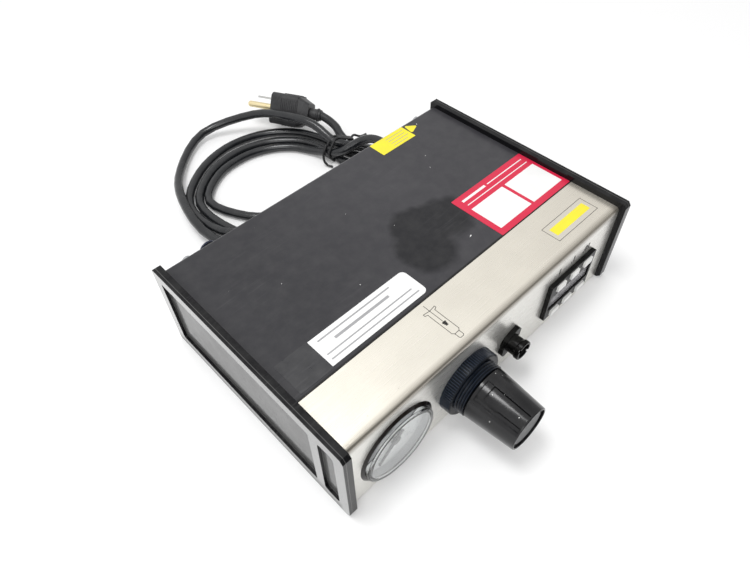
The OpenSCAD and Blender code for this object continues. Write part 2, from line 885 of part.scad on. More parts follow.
module regulator_bonnet() {
    rings = floor((thread_reach - nut_h) / thread_pitch);
    groove = 0.5;
    color([0.08, 0.08, 0.09])
        facing(regulator_x, regulator_z)
            difference() {
                rotate_extrude($fn = 96)
                    polygon(concat(
                        [[0, -bonnet_d], [bonnet_r, -bonnet_d], [bonnet_r, -sheet_t], [thread_r, -sheet_t]],
                        [for (i = [0:rings - 1], k = [0:2]) let (z = nut_h + (i + k / 2) * thread_pitch)
                            [thread_r - (k == 1 ? groove : 0), z]],
                        [[thread_r, thread_reach - 0.4], [thread_r - 0.4, thread_reach],
                            [neck_r, thread_reach], [neck_r, neck_reach], [0, neck_reach]]));
                disc(bonnet_cavity_r, -bonnet_d - slack, bonnet_cavity_top);
                disc(stem_r + running, 0, neck_reach + slack);
            }
}

// Outline of the panel nut: grip ribs, with two plain arcs opposite each other
function plain_arc(a) = (a > 5 && a < 55) || (a > 185 && a < 235);
module nut_outline() {
    pitch = 360 / nut_ribs;
    polygon([for (i = [0:nut_ribs - 1], k = [0.1, 0.4, 0.6, 0.9])
        let (a = (i + k) * pitch, r = nut_r - (plain_arc(a) || (k > 0.3 && k < 0.7) ? 0 : rib_d))
            [r * cos(a), r * sin(a)]]);
}

module panel_nut() {
    color([0.09, 0.1, 0.12])
        facing(regulator_x, regulator_z)
            difference() {
                intersection() {
                    linear_extrude(nut_h)
                        nut_outline();
                    rotate_extrude($fn = 96)
                        polygon([[0, 0], [nut_r, 0], [nut_r - nut_taper, nut_h - nut_edge],
                            [nut_r - nut_taper - nut_edge, nut_h], [0, nut_h]]);
                }
                disc(thread_r + running, -slack, nut_h + slack);
            }
}

module adjusting_stem() {
    color([0.7, 0.7, 0.72])
        facing(regulator_x, regulator_z) {
            disc(stem_r, -bonnet_d + 2, hex_start);
            disc(seat_r, -bonnet_d + 2, -bonnet_d + 4);
            translate([0, 0, hex_start])
                cylinder(r = hex_r, h = hex_end - hex_start, $fn = 6);
        }
}

function knob_r(z) =
    knob_base_r + (knob_tip_r - knob_base_r) * (z - knob_start) / (knob_reach - knob_start);

// A cut that follows the knob's taper, d deep, from z0 to z1, over span degrees from angle a
module knob_cut(a, span, z0, z1, d) {
    rotate([0, 0, a])
        rotate_extrude(angle = span, $fn = 96)
            polygon([[knob_r(z0) - d, z0], [knob_r(z0) + 1, z0],
                [knob_r(z1) + 1, z1], [knob_r(z1) - d, z1]]);
}

// Hollow knob with three sunk grip panels, each with a raised pad and a deeper slot
module regulator_knob() {
    color([0.12, 0.12, 0.13])
        facing(regulator_x, regulator_z)
            difference() {
                union() {
                    rotate_extrude($fn = 96)
                        polygon([[sleeve_r, knob_start], [knob_base_r, knob_start],
                            [knob_tip_r, knob_reach - 0.3], [knob_tip_r - 0.3, knob_reach],
                            [groove_r, knob_reach],
                            [groove_r, knob_reach - groove_floor],
                            [disc_r + slack, knob_reach - groove_floor],
                            [disc_r + slack, knob_reach - disc_sink - disc_t],
                            [0, knob_reach - disc_sink - disc_t], [0, knob_inner_end],
                            [disc_r + 0.5, knob_inner_end], [sleeve_r, hub_start + 1]]);
                    disc(hub_r, hub_start, knob_inner_end + slack);
                }
                translate([0, 0, hub_start - slack])
                    cylinder(r = hex_r + 0.12, h = hex_end - hub_start + 0.6, $fn = 6);
                for (a = panel_angles) {
                    difference() {
                        knob_cut(a - panel_span / 2, panel_span, panel_z[0], panel_z[1], panel_d);
                        knob_cut(a - pad_span / 2 - pad_shift, pad_span, pad_z, knob_reach, panel_d + 0.5);
                    }
                    knob_cut(a + slot_shift - slot_span / 2, slot_span, panel_z[0] + 0.4, slot_end, slot_d);
                }
            }
}

module knob_disc() {
    color([0.5, 0.5, 0.52])
        facing(regulator_x, regulator_z)
            disc(disc_r, knob_reach - disc_sink - disc_t, knob_reach - disc_sink);
}

// Air outlet
module outlet_flange() {
    color([0.08, 0.08, 0.09])
        facing(outlet_x, outlet_z)
            rotate([0, 0, ear_turn])
                difference() {
                    linear_extrude(ear_t)
                        hull() {
                            circle(ear_mid_r, $fn = 32);
                            for (s = [-1, 1])
                                translate([s * (ear_reach - ear_end_r), 0])
                                    circle(ear_end_r, $fn = 32);
                        }
                    disc(shank_r + running, -slack, ear_t + slack);
                }
}

module outlet_body() {
    color([0.08, 0.08, 0.09])
        facing(outlet_x, outlet_z)
            difference() {
                rotate_extrude()
                    polygon([[0, -tail_l], [tail_r - 0.4, -tail_l], [tail_r + 0.4, -tail_l + 4],
                        [tail_r - 0.3, -tail_l + 4], [tail_r + 0.4, -tail_l + 8], [tail_r, -tail_l + 8],
                        [tail_r, -shank_l], [shank_r, -shank_l], [shank_r, ear_t], [coupling_r, ear_t],
                        [coupling_r - 0.3, ear_t + 1], [coupling_r - 0.3, coupling_waist - 1],
                        [coupling_r + coupling_flare, coupling_waist],
                        [coupling_r + coupling_flare, coupling_reach - 0.4],
                        [coupling_r + coupling_flare - 0.4, coupling_reach], [0, coupling_reach]]);
                disc(outlet_bore, bore_floor, coupling_reach + slack);
                disc(tail_bore, -tail_l - slack, bore_floor + slack);
                rotate([0, 0, ear_turn + 90])
                    translate([0, 0, coupling_reach])
                        cube([2 * coupling_r + 4, notch_w, 2 * notch_d], center = true);
            }
}

module outlet_nut() {
    color([0.75, 0.62, 0.35])
        facing(outlet_x, outlet_z)
            difference() {
                hexagon(hex_af, -sheet_t - 4, -sheet_t);
                disc(shank_r + running, -sheet_t - 5, 0);
            }
}

// Bank of push-wheel digits
module at_digits() {
    for (i = [0:digits - 1])
        translate([(i - (digits - 1) / 2) * module_w, 0, 0])
            children();
}

module at_digit(i) {
    facing(switch_x, switch_z)
        translate([(i - (digits + 1) / 2) * module_w, 0, 0])
            children();
}

module switch_housing() {
    chamber_y0 = wheel_y - wheel_r - chamber_gap;
    chamber_y1 = wheel_y + wheel_r + chamber_gap;
    chamber_z = wheel_z - wheel_r - chamber_gap;
    window_floor = switch_front - window_sink - window_t;
    color([0.09, 0.09, 0.1])
        facing(switch_x, switch_z)
            difference() {
                union() {
                    linear_extrude(switch_front)
                        round_rect(switch_w, switch_h, 0.8);
                    translate([0, 0, -switch_d / 2])
                        cube([housing_w, housing_h, switch_d], center = true);
                }
                translate([-window_w / 2, window_y - window_h / 2, window_floor])
                    cube([window_w, window_h, window_sink + window_t + slack]);
                at_digits() {
                    box([-chamber_w / 2, chamber_w / 2], [chamber_y0, chamber_y1], [chamber_z, wall_back]);
                    box([-wheel_w / 2 - 0.4, wheel_w / 2 + 0.4], span(window_y, window_h / 2 - 0.5),
                        [wall_back - slack, window_floor + slack]);
                    for (s = [-1, 1])
                        translate([0, s * row_y, 0]) {
                            box(span(0, button_w / 2 + slack), span(0, button_h / 2 + slack),
                                [wall_back - slack, switch_front + slack]);
                            box(span(0, button_w / 2 + lip_side + 0.15), span(0, button_h / 2 + slack),
                                [wall_back - lip_t - button_travel - 0.5, wall_back]);
                        }
                }
                translate([0, wheel_y, wheel_z])
                    rotate([0, 90, 0])
                        cylinder(r = axle_r + 0.02, h = housing_w - 1, center = true);
            }
}

module switch_window() {
    color([0.6, 0.62, 0.64, 0.4])
        facing(switch_x, switch_z)
            translate([0, window_y, switch_front - window_sink - window_t / 2])
                cube([window_w - 2 * slack, window_h - 2 * slack, window_t], center = true);
}

module switch_spindle() {
    color([0.75, 0.75, 0.76])
        facing(switch_x, switch_z)
            translate([0, wheel_y, wheel_z])
                rotate([0, 90, 0])
                    cylinder(r = axle_r, h = housing_w - 1.4, center = true);
}

// Ten-sided number wheel with a ratchet ring on its side
module digit_wheel(i) {
    teeth = 10;
    color([0.93, 0.93, 0.9])
        at_digit(i)
            translate([0, wheel_y, wheel_z])
                rotate([0, 90, 0])
                    difference() {
                        union() {
                            translate([0, 0, -wheel_w / 2])
                                rotate([0, 0, 180 / teeth])
                                    cylinder(r = wheel_r, h = wheel_w, $fn = teeth);
                            translate([0, 0, -wheel_w / 2 - ratchet_t])
                                linear_extrude(ratchet_t)
                                    polygon([for (k = [0:teeth - 1], j = [0, 1])
                                        let (a = 360 * (k + 0.2 * j) / teeth, r = ratchet_r - 1.8 * j)
                                            [r * cos(a), r * sin(a)]]);
                        }
                        cylinder(r = axle_r + running, h = 2 * wheel_w, center = true);
                    }
}

// Button with a retaining lip behind the housing's front wall
module digit_button(i, s) {
    color([0.94, 0.94, 0.93])
        at_digit(i)
            translate([0, s * row_y, 0]) {
                lip_front = wall_back - slack;
                box(span(0, button_w / 2), span(0, button_h / 2),
                    [lip_front - lip_t, button_front]);
                box(span(0, button_w / 2 + lip_side), span(0, button_h / 2),
                    [lip_front - lip_t, lip_front]);
            }
}

// Rear fittings
module power_switch_frame() {
    color([0.08, 0.08, 0.09])
        rearing(power_x, rear_z)
            difference() {
                union() {
                    linear_extrude(power_t)
                        round_rect(power_w, power_h, 1);
                    translate([0, 0, -power_d / 2])
                        cube([power_w - 2, power_h - 2, power_d], center = true);
                    for (y = [-6, 0, 6])
                        translate([0, y, -power_d - 3.5])
                            cube([4.8, 0.8, 7], center = true);
                }
                translate([0, 0, power_t / 2 - 4])
                    cube([rocker_w + 0.6, rocker_h + 2.4, power_t + 8.2], center = true);
                translate([0, 0, pivot_z])
                    rotate([0, 90, 0])
                        cylinder(r = pivot_r + running, h = rocker_w + 2.6, center = true);
            }
}

// Rocker, stored with its lower end pressed
module power_rocker() {
    half = rocker_h / 2;
    color([0.1, 0.1, 0.11])
        rearing(power_x, rear_z)
            translate([0, 0, pivot_z])
                rotate([rocker_tilt, 0, 0]) {
                    rotate([90, 0, 90])
                        translate([0, 0, -rocker_w / 2])
                            linear_extrude(rocker_w)
                                polygon([[-half, -1.5], [half, -1.5], [half, 4.7], [0, 3.4], [-half, 4.7]]);
                    rotate([0, 90, 0])
                        cylinder(r = pivot_r, h = rocker_w + 2.2, center = true);
                }
}

module fuse_holder() {
    color([0.08, 0.08, 0.09])
        rearing(fuse_x, rear_z)
            difference() {
                union() {
                    disc(fuse_flange_r, 0, fuse_flange_t);
                    disc(fuse_body_r, -fuse_d, 0);
                    hexagon(hex_af + 3, -sheet_t - 3, -sheet_t);
                }
                disc(fuse_bore, -fuse_d + 2, fuse_flange_t + slack);
            }
}

module fuse_cap() {
    top = fuse_flange_t + 7;
    color([0.1, 0.1, 0.11])
        rearing(fuse_x, rear_z)
            difference() {
                union() {
                    disc(fuse_flange_r - 2, fuse_flange_t + slack, top);
                    disc(fuse_bore - running, -10, fuse_flange_t + slack);
                    disc(fuse_bore - 1.6, -fuse_d + 2.1, -10);
                }
                translate([0, 0, top])
                    cube([9, 1.6, 2.4], center = true);
            }
}

module foot_socket() {
    color([0.1, 0.1, 0.11])
        rearing(socket_x, rear_z)
            difference() {
                union() {
                    disc(bush_r, -sheet_t, bush_h);
                    hexagon(hex_af - 1, 0, 2.2);
                    translate([0, 0, -sheet_t - (jack_d - sheet_t) / 2])
                        cube([jack_w, jack_w, jack_d - sheet_t], center = true);
                }
                disc(socket_bore, -jack_d + 2, bush_h + slack);
            }
}

module exhaust_muffler() {
    color([0.72, 0.58, 0.35])
        rearing(muffler_x, rear_z)
            difference() {
                union() {
                    hexagon(hex_af, 0, 5);
                    disc(muffler_r, 5, muffler_h - 2);
                    translate([0, 0, muffler_h - 2])
                        cylinder(r1 = muffler_r, r2 = muffler_r - 2, h = 2);
                    disc(gauge_stem_r, -muffler_tail, 0);
                }
                disc(1.6, -muffler_tail - slack, muffler_h - 6);
            }
}

module air_inlet() {
    color([0.72, 0.7, 0.66])
        rearing(inlet_x, rear_z)
            difference() {
                union() {
                    hexagon(hex_af, 0, inlet_hex_h);
                    disc(inlet_body_r, inlet_hex_h, inlet_body_h);
                    disc(gauge_stem_r, -inlet_tail, 0);
                }
                disc(inlet_bore, 0, inlet_body_h);
                disc(sleeve_out_r + slack, inlet_body_h - sleeve_l - collar_travel, inlet_body_h + slack);
                disc(2, -inlet_tail - slack, slack);
            }
}

// Release collar of the push-in fitting
module inlet_collar() {
    color([0.12, 0.2, 0.45])
        rearing(inlet_x, rear_z)
            difference() {
                union() {
                    disc(inlet_body_r - 0.8, air_reach - collar_flange_t, air_reach);
                    disc(sleeve_out_r, inlet_body_h - sleeve_l + 0.3, air_reach - collar_flange_t);
                }
                disc(inlet_bore + slack, 0, air_reach + slack);
            }
}

module strain_relief() {
    rings = 6;
    pitch = (relief_l - 4) / rings;
    color([0.1, 0.1, 0.11])
        rearing(relief_x, relief_z) {
            rotate_extrude()
                polygon(concat([[0, -9], [relief_r[0], -9], [relief_r[0], 0], [relief_flange_r, 0],
                    [relief_flange_r, 2.4]],
                    [for (i = [0:rings - 1], k = [0, 0.35, 0.4, 0.95])
                        let (z = 2.8 + (i + k) * pitch,
                            r = relief_r[0] + (relief_r[1] - relief_r[0]) * z / relief_l)
                            [r - (k < 0.38 ? 0 : 0.9), z]],
                    [[relief_r[1], relief_l - 1], [relief_r[1], relief_l], [0, relief_l]]));
        }
}

// Mains lead
module cord_feed() {
    color([0.13, 0.13, 0.14])
        cord(concat(feed_route, [turn(0)[0]]), 10);
}

module cord_coil() {
    color([0.13, 0.13, 0.14])
        cord(concat(turn(0), turn(1), turn(2), [turn(3)[0]]), 8);
}

module cord_loop() {
    color([0.13, 0.13, 0.14])
        cord(concat(turn(3), [end_route[0]]), 10);
}

module cord_end() {
    color([0.13, 0.13, 0.14])
        cord(end_route, 10);
}

module cord_tie() {
    color([0.05, 0.05, 0.06]) {
        translate([tie_at[0], tie_at[1], tie_h / 2])
            rotate([0, 0, tie_turn])
                difference() {
                    cube([tie_w, tie_l, tie_h], center = true);
                    cube([tie_w - 2 * tie_t, tie_l + 1, tie_h - 2 * tie_t], center = true);
                }
        bar(tie_tail[0], tie_tail[1], tail_wire_r);
    }
}

// The plug's local z runs from its face towards the cord, x along the blades' row
module at_plug() {
    translate(plug_at)
        rotate([0, 0, plug_heading])
            rotate([plug_roll - 90, 0, 0])
                rotate([0, 90, 0])
                    children();
}

module plug_body() {
    color([0.16, 0.16, 0.17])
        at_plug() {
            linear_extrude(plug_straight)
                round_rect(plug_t, plug_w, 4);
            hull() {
                translate([0, 0, plug_straight - 0.5])
                    linear_extrude(0.5)
                        round_rect(plug_t, plug_w, 4, $fn = 32);
                disc(plug_nose, plug_taper - 1, plug_taper);
            }
            translate([0, 0, plug_taper])
                cylinder(r1 = 6, r2 = 4.2, h = plug_l - plug_taper);
        }
}

module plug_prongs() {
    side = plug_t / 2 - blade_back;
    at_plug() {
        color([0.8, 0.8, 0.8])
            for (s = [-1, 1])
                translate([side, s * blade_gap, -blade_l / 2])
                    cube([blade_w, blade_t, blade_l], center = true);
        color([0.85, 0.7, 0.3])
            translate([-pin_drop, 0, -pin_l])
                cylinder(r = pin_r, h = pin_l);
    }
}

// Inside pieces
module solenoid_valve() {
    mid = (solenoid_x[0] + solenoid_x[1]) / 2;
    color([0.3, 0.31, 0.33])
        difference() {
            union() {
                box(solenoid_x, solenoid_y, solenoid_z);
                box(span(mid, valve_coil_w / 2), solenoid_y + [valve_coil_in[0], -valve_coil_in[1]],
                    [solenoid_z[1], solenoid_z[1] + valve_coil_h]);
                for (y = [solenoid_y[0] + valve_foot_in, solenoid_y[1] - valve_foot_in - valve_foot_l])
                    box(span(mid, valve_foot_w / 2), [y, y + valve_foot_l], [base_top, solenoid_z[0]]);
            }
            translate([outlet_x, solenoid_y[0], outlet_z])
                rotate([-90, 0, 0])
                    disc(air_r + running, -slack, 6);
        }
}

module circuit_board() {
    z = board_z + board_t;
    color([0.1, 0.35, 0.2]) {
        box(board_x, board_y, [board_z, z]);
        for (c = chips)
            translate([board_x[0] + c[0], board_y[0] + c[1], z])
                cube([c[2], c[3], c[4]]);
        for (i = [0:2])
            translate([board_x[1] - can_in[0] - can_pitch * i, board_y[0] + can_in[1], z])
                cylinder(r = can_r, h = can_h);
    }
}

module board_pillars() {
    color([0.75, 0.62, 0.35])
        for (x = board_x + [pillar_in, -pillar_in], y = board_y + [pillar_in, -pillar_in])
            translate([x, y, base_top])
                cylinder(r = pillar_r, h = board_z - base_top);
}

// Laminated core with its winding and feet
module transformer() {
    mid = (core_x[0] + core_x[1]) / 2;
    color([0.35, 0.33, 0.3]) {
        box(core_x, core_y, core_z);
        box([mid - 14, mid + 14], core_y + [-coil_out, coil_out], core_z + [8, -8]);
        box([core_x[0], core_x[1]], core_y + [-5, 5], [base_top, core_z[0]]);
    }
}

module air_tubing() {
    reg_y = fascia_y + port_z;
    left_x = regulator_x - valve_w / 2;
    right_x = regulator_x + valve_w / 2;
    sense = [regulator_x - valve_w / 4, fascia_y + valve_d, regulator_z - valve_w / 4];
    stem_y = fascia_y + case_d + gauge_stem_l;
    mid_y = solenoid_y[0] + 16;
    muffler_y = panel_y - muffler_tail;
    inlet_y = panel_y - inlet_tail;
    color([0.15, 0.25, 0.6]) {
        pipe([[inlet_x, inlet_y, rear_z], [inlet_x, inlet_y - 36, rear_z],
            [left_x - 8, reg_y + 22, regulator_z], [left_x - 8, reg_y, regulator_z],
            [left_x + 1, reg_y, regulator_z]], air_r);
        pipe([sense - [0, 1, 0], sense + [0, 8, 0], [gauge_x, sense[1] + 8, sense[2]],
            [gauge_x, sense[1] + 8, gauge_z], [gauge_x, stem_y, gauge_z]], sense_r);
        pipe([[right_x - 1, reg_y, regulator_z], [right_x + 4.4, reg_y, regulator_z],
            [right_x + 4.4, mid_y, regulator_z], [solenoid_x[0], mid_y, regulator_z]], air_r);
        pipe([[outlet_x, solenoid_y[0] + 1, outlet_z], [outlet_x, fascia_y + tail_l + 4, outlet_z],
            [outlet_x, fascia_y + tail_l, outlet_z]], air_r);
        pipe([[outlet_x + 4, solenoid_y[1], solenoid_z[1] - 4],
            [outlet_x + 4, solenoid_y[1] + 16, solenoid_z[1] - 4],
            [muffler_x, solenoid_y[1] + 16, rear_z], [muffler_x, muffler_y, rear_z]], air_r);
    }
}

end_cap_left();
end_cap_right();
chassis();
front_fascia();
top_cover();
rear_panel();
rear_screws();
cap_screws();
gauge_case();
gauge_bezel();
gauge_dial();
gauge_needle();
gauge_lens();
gauge_movement();
bourdon_tube();
gauge_stem();
gauge_clamp();
regulator_body();
regulator_bonnet();
panel_nut();
adjusting_stem();
regulator_knob();
knob_disc();
outlet_flange();
outlet_body();
outlet_nut();
switch_housing();
switch_window();
switch_spindle();
digit_wheel(1);  // digit_wheel_1
digit_wheel(2);  // digit_wheel_2
digit_wheel(3);  // digit_wheel_3
digit_button(1, 1);  // plus_button_1
digit_button(2, 1);  // plus_button_2
digit_button(3, 1);  // plus_button_3
digit_button(1, -1);  // minus_button_1
digit_button(2, -1);  // minus_button_2
digit_button(3, -1);  // minus_button_3
power_switch_frame();
power_rocker();
fuse_holder();
fuse_cap();
foot_socket();
exhaust_muffler();
air_inlet();
inlet_collar();
strain_relief();
cord_feed();
cord_coil();
cord_loop();
cord_end();
cord_tie();
plug_body();
plug_prongs();
solenoid_valve();
circuit_board();
transformer();
board_pillars();
air_tubing();
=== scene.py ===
import bpy
import bmesh
from math import atan2, cos, degrees, hypot, pi, radians, sin
from mathutils import Matrix, Vector


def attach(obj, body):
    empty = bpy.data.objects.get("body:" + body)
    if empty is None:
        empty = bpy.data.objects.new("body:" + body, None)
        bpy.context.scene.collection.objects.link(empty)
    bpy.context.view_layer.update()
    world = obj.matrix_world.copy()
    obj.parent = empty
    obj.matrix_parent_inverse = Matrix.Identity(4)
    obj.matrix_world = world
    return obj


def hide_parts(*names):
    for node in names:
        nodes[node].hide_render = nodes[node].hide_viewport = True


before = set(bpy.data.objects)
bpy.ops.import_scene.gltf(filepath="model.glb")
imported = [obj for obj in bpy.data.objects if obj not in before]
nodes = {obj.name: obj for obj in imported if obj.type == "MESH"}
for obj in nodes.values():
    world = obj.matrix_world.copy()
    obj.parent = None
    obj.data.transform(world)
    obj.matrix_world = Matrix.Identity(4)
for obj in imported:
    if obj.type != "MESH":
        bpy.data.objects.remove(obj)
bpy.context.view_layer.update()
print("model loaded:", len(nodes), "nodes")

mm = 0.001
frontY = -60.6  # outer face of the steel front, millimetres
topZ = 57.3  # top face of the cover and strip
inkDeep = 0.03  # thickness of a printed mark
facingFront = (radians(90), 0, 0)
finishes = {}  # every finish by its name

# camera
cameraSizes = {
    "place": (-0.167557, -0.149529, 0.293319),
    "right": (0.718597, -0.695148, -0.019686),
    "up": (0.538561, 0.538373, 0.648156),
    "back": (-0.439966, -0.476365, 0.761253),
    "lens": 29.06, "sensor": 36,  # for a picture of 750 by 563
    "nearest": 0.005,
}

camera = bpy.data.objects.new("camera", bpy.data.cameras.new("camera"))
scene = bpy.context.scene
scene.collection.objects.link(camera)
view = Matrix((cameraSizes["right"], cameraSizes["up"], cameraSizes["back"])).transposed()
camera.matrix_world = Matrix.Translation(cameraSizes["place"]) @ view.to_4x4()
camera.data.sensor_width = cameraSizes["sensor"]
camera.data.lens = cameraSizes["lens"]
camera.data.clip_start = cameraSizes["nearest"]
scene.camera = camera


# hand tools that every piece uses
def at(x, y, z):
    # a place given in millimetres
    return (x * mm, y * mm, z * mm)


def endEdit():
    bpy.ops.object.mode_set(mode="OBJECT")


def clearSelection():
    if bpy.context.object and bpy.context.object.mode != "OBJECT":
        endEdit()
    bpy.ops.object.select_all(action="DESELECT")


def pick(piece):
    clearSelection()
    piece.select_set(True)
    bpy.context.view_layer.objects.active = piece


def pickParts(piece, kind, wanted):
    # leaves the piece in edit mode with only the wanted edges or faces selected
    pick(piece)
    bpy.ops.object.mode_set(mode="EDIT")
    bpy.ops.mesh.select_mode(type=kind)
    bpy.ops.mesh.select_all(action="DESELECT")
    mesh = bmesh.from_edit_mesh(piece.data)
    if kind == "EDGE":
        for edge in mesh.edges:
            edge.select = wanted(edge.verts[0].co, edge.verts[1].co)
    else:
        for face in mesh.faces:
            face.select = wanted(face.calc_center_median(), face.normal)
    bmesh.update_edit_mesh(piece.data)


def bevelEdges(piece, width, segments, wanted=lambda a, b: True):
    pickParts(piece, "EDGE", wanted)
    bpy.ops.mesh.bevel(offset=width * mm, segments=segments, affect="EDGES")
    endEdit()


def drawUp(rise, acrossX=1, acrossY=1):
    # draws out what is selected and resizes its new end
    bpy.ops.mesh.extrude_region_move(TRANSFORM_OT_translate={"value": (0, 0, rise * mm)})
    bpy.ops.transform.resize(value=(acrossX, acrossY, 1))


def closeSkin():
    # turns every face of the piece outwards
    bpy.ops.mesh.select_all(action="SELECT")
    bpy.ops.mesh.normals_make_consistent(inside=False)
    endEdit()


def turned(angle, axisName):
    return Matrix.Rotation(radians(angle), 4, axisName)


def fixPlace(piece):
    pick(piece)
    bpy.ops.object.transform_apply(location=True, rotation=True, scale=True)


def joinPieces(pieces, name):
    clearSelection()
    for piece in pieces:
        piece.select_set(True)
    bpy.context.view_layer.objects.active = pieces[0]
    bpy.ops.object.join()
    pieces[0].name = pieces[0].data.name = name
    return pieces[0]


def settle(piece, look, body="enclosure", angle=35):
    # fixes the piece in the frame, smooths it and gives it its finish
    fixPlace(piece)
    bpy.ops.object.shade_smooth_by_angle(angle=radians(angle))
    piece.data.materials.clear()
    piece.data.materials.append(finishes[look])
    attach(piece, body)


def writing(words, height, place, name="mark", bold=0):
    # figures from the built-in typeface, which is 1.4 times as high as they are
    bpy.ops.object.text_add(location=at(*place), rotation=facingFront)
    mark = bpy.context.object
    mark.data.body = words
    mark.data.align_x = mark.data.align_y = "CENTER"
    mark.data.size = height * 1.4 * mm
    mark.data.extrude = inkDeep * mm
    mark.data.offset = bold * mm
    mark.data.resolution_u = 3
    bpy.ops.object.convert(target="MESH")
    mark.name = name
    fixPlace(mark)
    return mark


def slab(name, xSpan, ySpan, zSpan, corner=0, segments=4, rightOnly=False):
    # a flat piece lying level, its upright corners rounded
    size = [(b - a) * mm for a, b in (xSpan, ySpan, zSpan)]
    mid = [(a + b) / 2 * mm for a, b in (xSpan, ySpan, zSpan)]
    bpy.ops.mesh.primitive_cube_add(size=1, location=mid)
    piece = bpy.context.object
    piece.name = name
    piece.scale = size
    fixPlace(piece)
    if corner:
        bevelEdges(piece, corner, segments, lambda a, b: abs(a.z - b.z) > 0.3 * size[2]
                   and (a.x > mid[0] or not rightOnly))
    return piece


def cylinder(sides, radius, depth, place, turn=(0, 0, 0)):
    bpy.ops.mesh.primitive_cylinder_add(
        vertices=sides, radius=radius * mm, depth=depth * mm, location=at(*place), rotation=turn)
    return bpy.context.object


# hand tools for the shader trees
def feed(socket, value):
    if isinstance(value, bpy.types.NodeSocket):
        socket.id_data.links.new(value, socket)
    else:
        socket.default_value = value


def add(tree, kind, wires=None, **settings):
    node = tree.nodes.new("ShaderNode" + kind)
    for key, value in settings.items():
        setattr(node, key, value)
    for key, value in (wires or {}).items():
        feed(node.inputs[key], value)
    return node


def ramp(tree, value, low, high, first=0, last=1):
    wires = {"Value": value, "From Min": low, "From Max": high, "To Min": first, "To Max": last}
    return add(tree, "MapRange", wires, clamp=True).outputs[0]


def fade(tree, value, span, first=0, last=1):
    # a ramp between two distances in millimetres
    return ramp(tree, value, span[0] * mm, span[1] * mm, first, last)


def sums(tree, operation, a, b):
    clamped = operation in ("ADD", "MULTIPLY")
    return add(tree, "Math", {0: a, 1: b}, operation=operation, use_clamp=clamped).outputs[0]


def times(tree, a, b):
    return sums(tree, "MULTIPLY", a, b)


def plus(tree, a, b):
    return sums(tree, "ADD", a, b)


def larger(tree, a, b):
    return sums(tree, "MAXIMUM", a, b)


def mixColor(tree, amount, a, b):
    return add(tree, "Mix", {0: amount, 6: a, 7: b}, data_type="RGBA").outputs[2]


def tint(tree, tone, mask, paint, amount=1):
    # lays a paint over the tone where the mask is
    if amount < 1:
        mask = times(tree, mask, amount)
    return mixColor(tree, mask, tone, (*paint, 1))


def axis(tree, vector, name):
    return add(tree, "SeparateXYZ", {"Vector": vector}).outputs[name]


def noiseAt(tree, vector, scale, detail=2, rough=0.5):
    wires = {"Vector": vector, "Scale": scale, "Detail": detail, "Roughness": rough}
    return add(tree, "TexNoise", wires).outputs["Fac"]


def distanceFrom(tree, place, middle, keep):
    # distance from an axis through the middle, along the side that isn't kept
    wires = {"Vector": place, "Scale": keep, "Location": [-m * mm for m in middle]}
    moved = add(tree, "Mapping", wires).outputs[0]
    return add(tree, "VectorMath", {0: moved}, operation="LENGTH").outputs["Value"]


# effects shared by the finishes, each a group that gives one number
effects = {}


def newGroup(name, inputs, output):
    group = effects[name] = bpy.data.node_groups.new(name, "ShaderNodeTree")
    sockets = group.interface
    sockets.new_socket(name="Vector", in_out="INPUT", socket_type="NodeSocketVector")
    for label, value in inputs.items():
        socket = sockets.new_socket(name=label, in_out="INPUT", socket_type="NodeSocketFloat")
        socket.default_value = value
    sockets.new_socket(name=output, in_out="OUTPUT", socket_type="NodeSocketFloat")
    start = group.nodes.new("NodeGroupInput").outputs
    return group, start, group.nodes.new("NodeGroupOutput").inputs[0]


def makeMottle():
    # slow cloudy change of tone, 0 to 1
    group, start, end = newGroup("mottle", {"Scale": 60}, "Value")
    feed(end, ramp(group, noiseAt(group, start[0], start[1], 5, 0.6), 0.32, 0.68))


def makeGrain():
    # fine grain of moulded or painted faces, as a height
    group, start, end = newGroup("fineGrain", {"Scale": 900}, "Height")
    feed(end, noiseAt(group, start[0], start[1], 3, 0.7))


def makeScuffs():
    # thin rubbed marks that cross each other in patches
    group, start, end = newGroup("scuffs", {"Scale": 40, "Amount": 0.3}, "Mask")
    marks = []
    for turn, stretch in ((0.5, 14), (2.1, 22)):
        wires = {"Vector": start[0], "Rotation": (0, 0, turn), "Scale": (1, stretch, 5)}
        place = add(group, "Mapping", wires).outputs[0]
        marks.append(ramp(group, noiseAt(group, place, start[1]), 0.62, 0.7))
    patch = ramp(group, noiseAt(group, start[0], 22), 0.48, 0.62)
    feed(end, times(group, times(group, larger(group, *marks), patch), start[2]))


def makeSpecks():
    # small pale specks and chips of uneven size, in one cell of five
    group, start, end = newGroup("specks", {"Scale": 300, "Size": 0.1}, "Mask")
    cells = add(group, "TexVoronoi", {"Vector": start[0], "Scale": start[1]}).outputs
    draw = add(group, "SeparateColor", {"Color": cells["Color"]}).outputs
    reach = times(group, draw[1], start[2])
    inside = ramp(group, sums(group, "SUBTRACT", reach, cells["Distance"]), 0, 0.02)
    feed(end, times(group, inside, ramp(group, draw[0], 0.8, 0.81)))


def makeDust():
    # dust that settles on faces turned upwards
    group, start, end = newGroup("settledDust", {"Amount": 0.2}, "Mask")
    normal = add(group, "NewGeometry").outputs["Normal"]
    up = ramp(group, axis(group, normal, "Z"), 0.2, 0.9)
    patch = ramp(group, noiseAt(group, start[0], 120, 8, 0.7), 0.4, 0.75)
    feed(end, times(group, times(group, up, patch), start[1]))


for makeEffect in (makeMottle, makeGrain, makeScuffs, makeSpecks, makeDust):
    makeEffect()


def effect(tree, name, place, **inputs):
    return add(tree, "Group", {"Vector": place, **inputs}, node_tree=effects[name]).outputs[0]


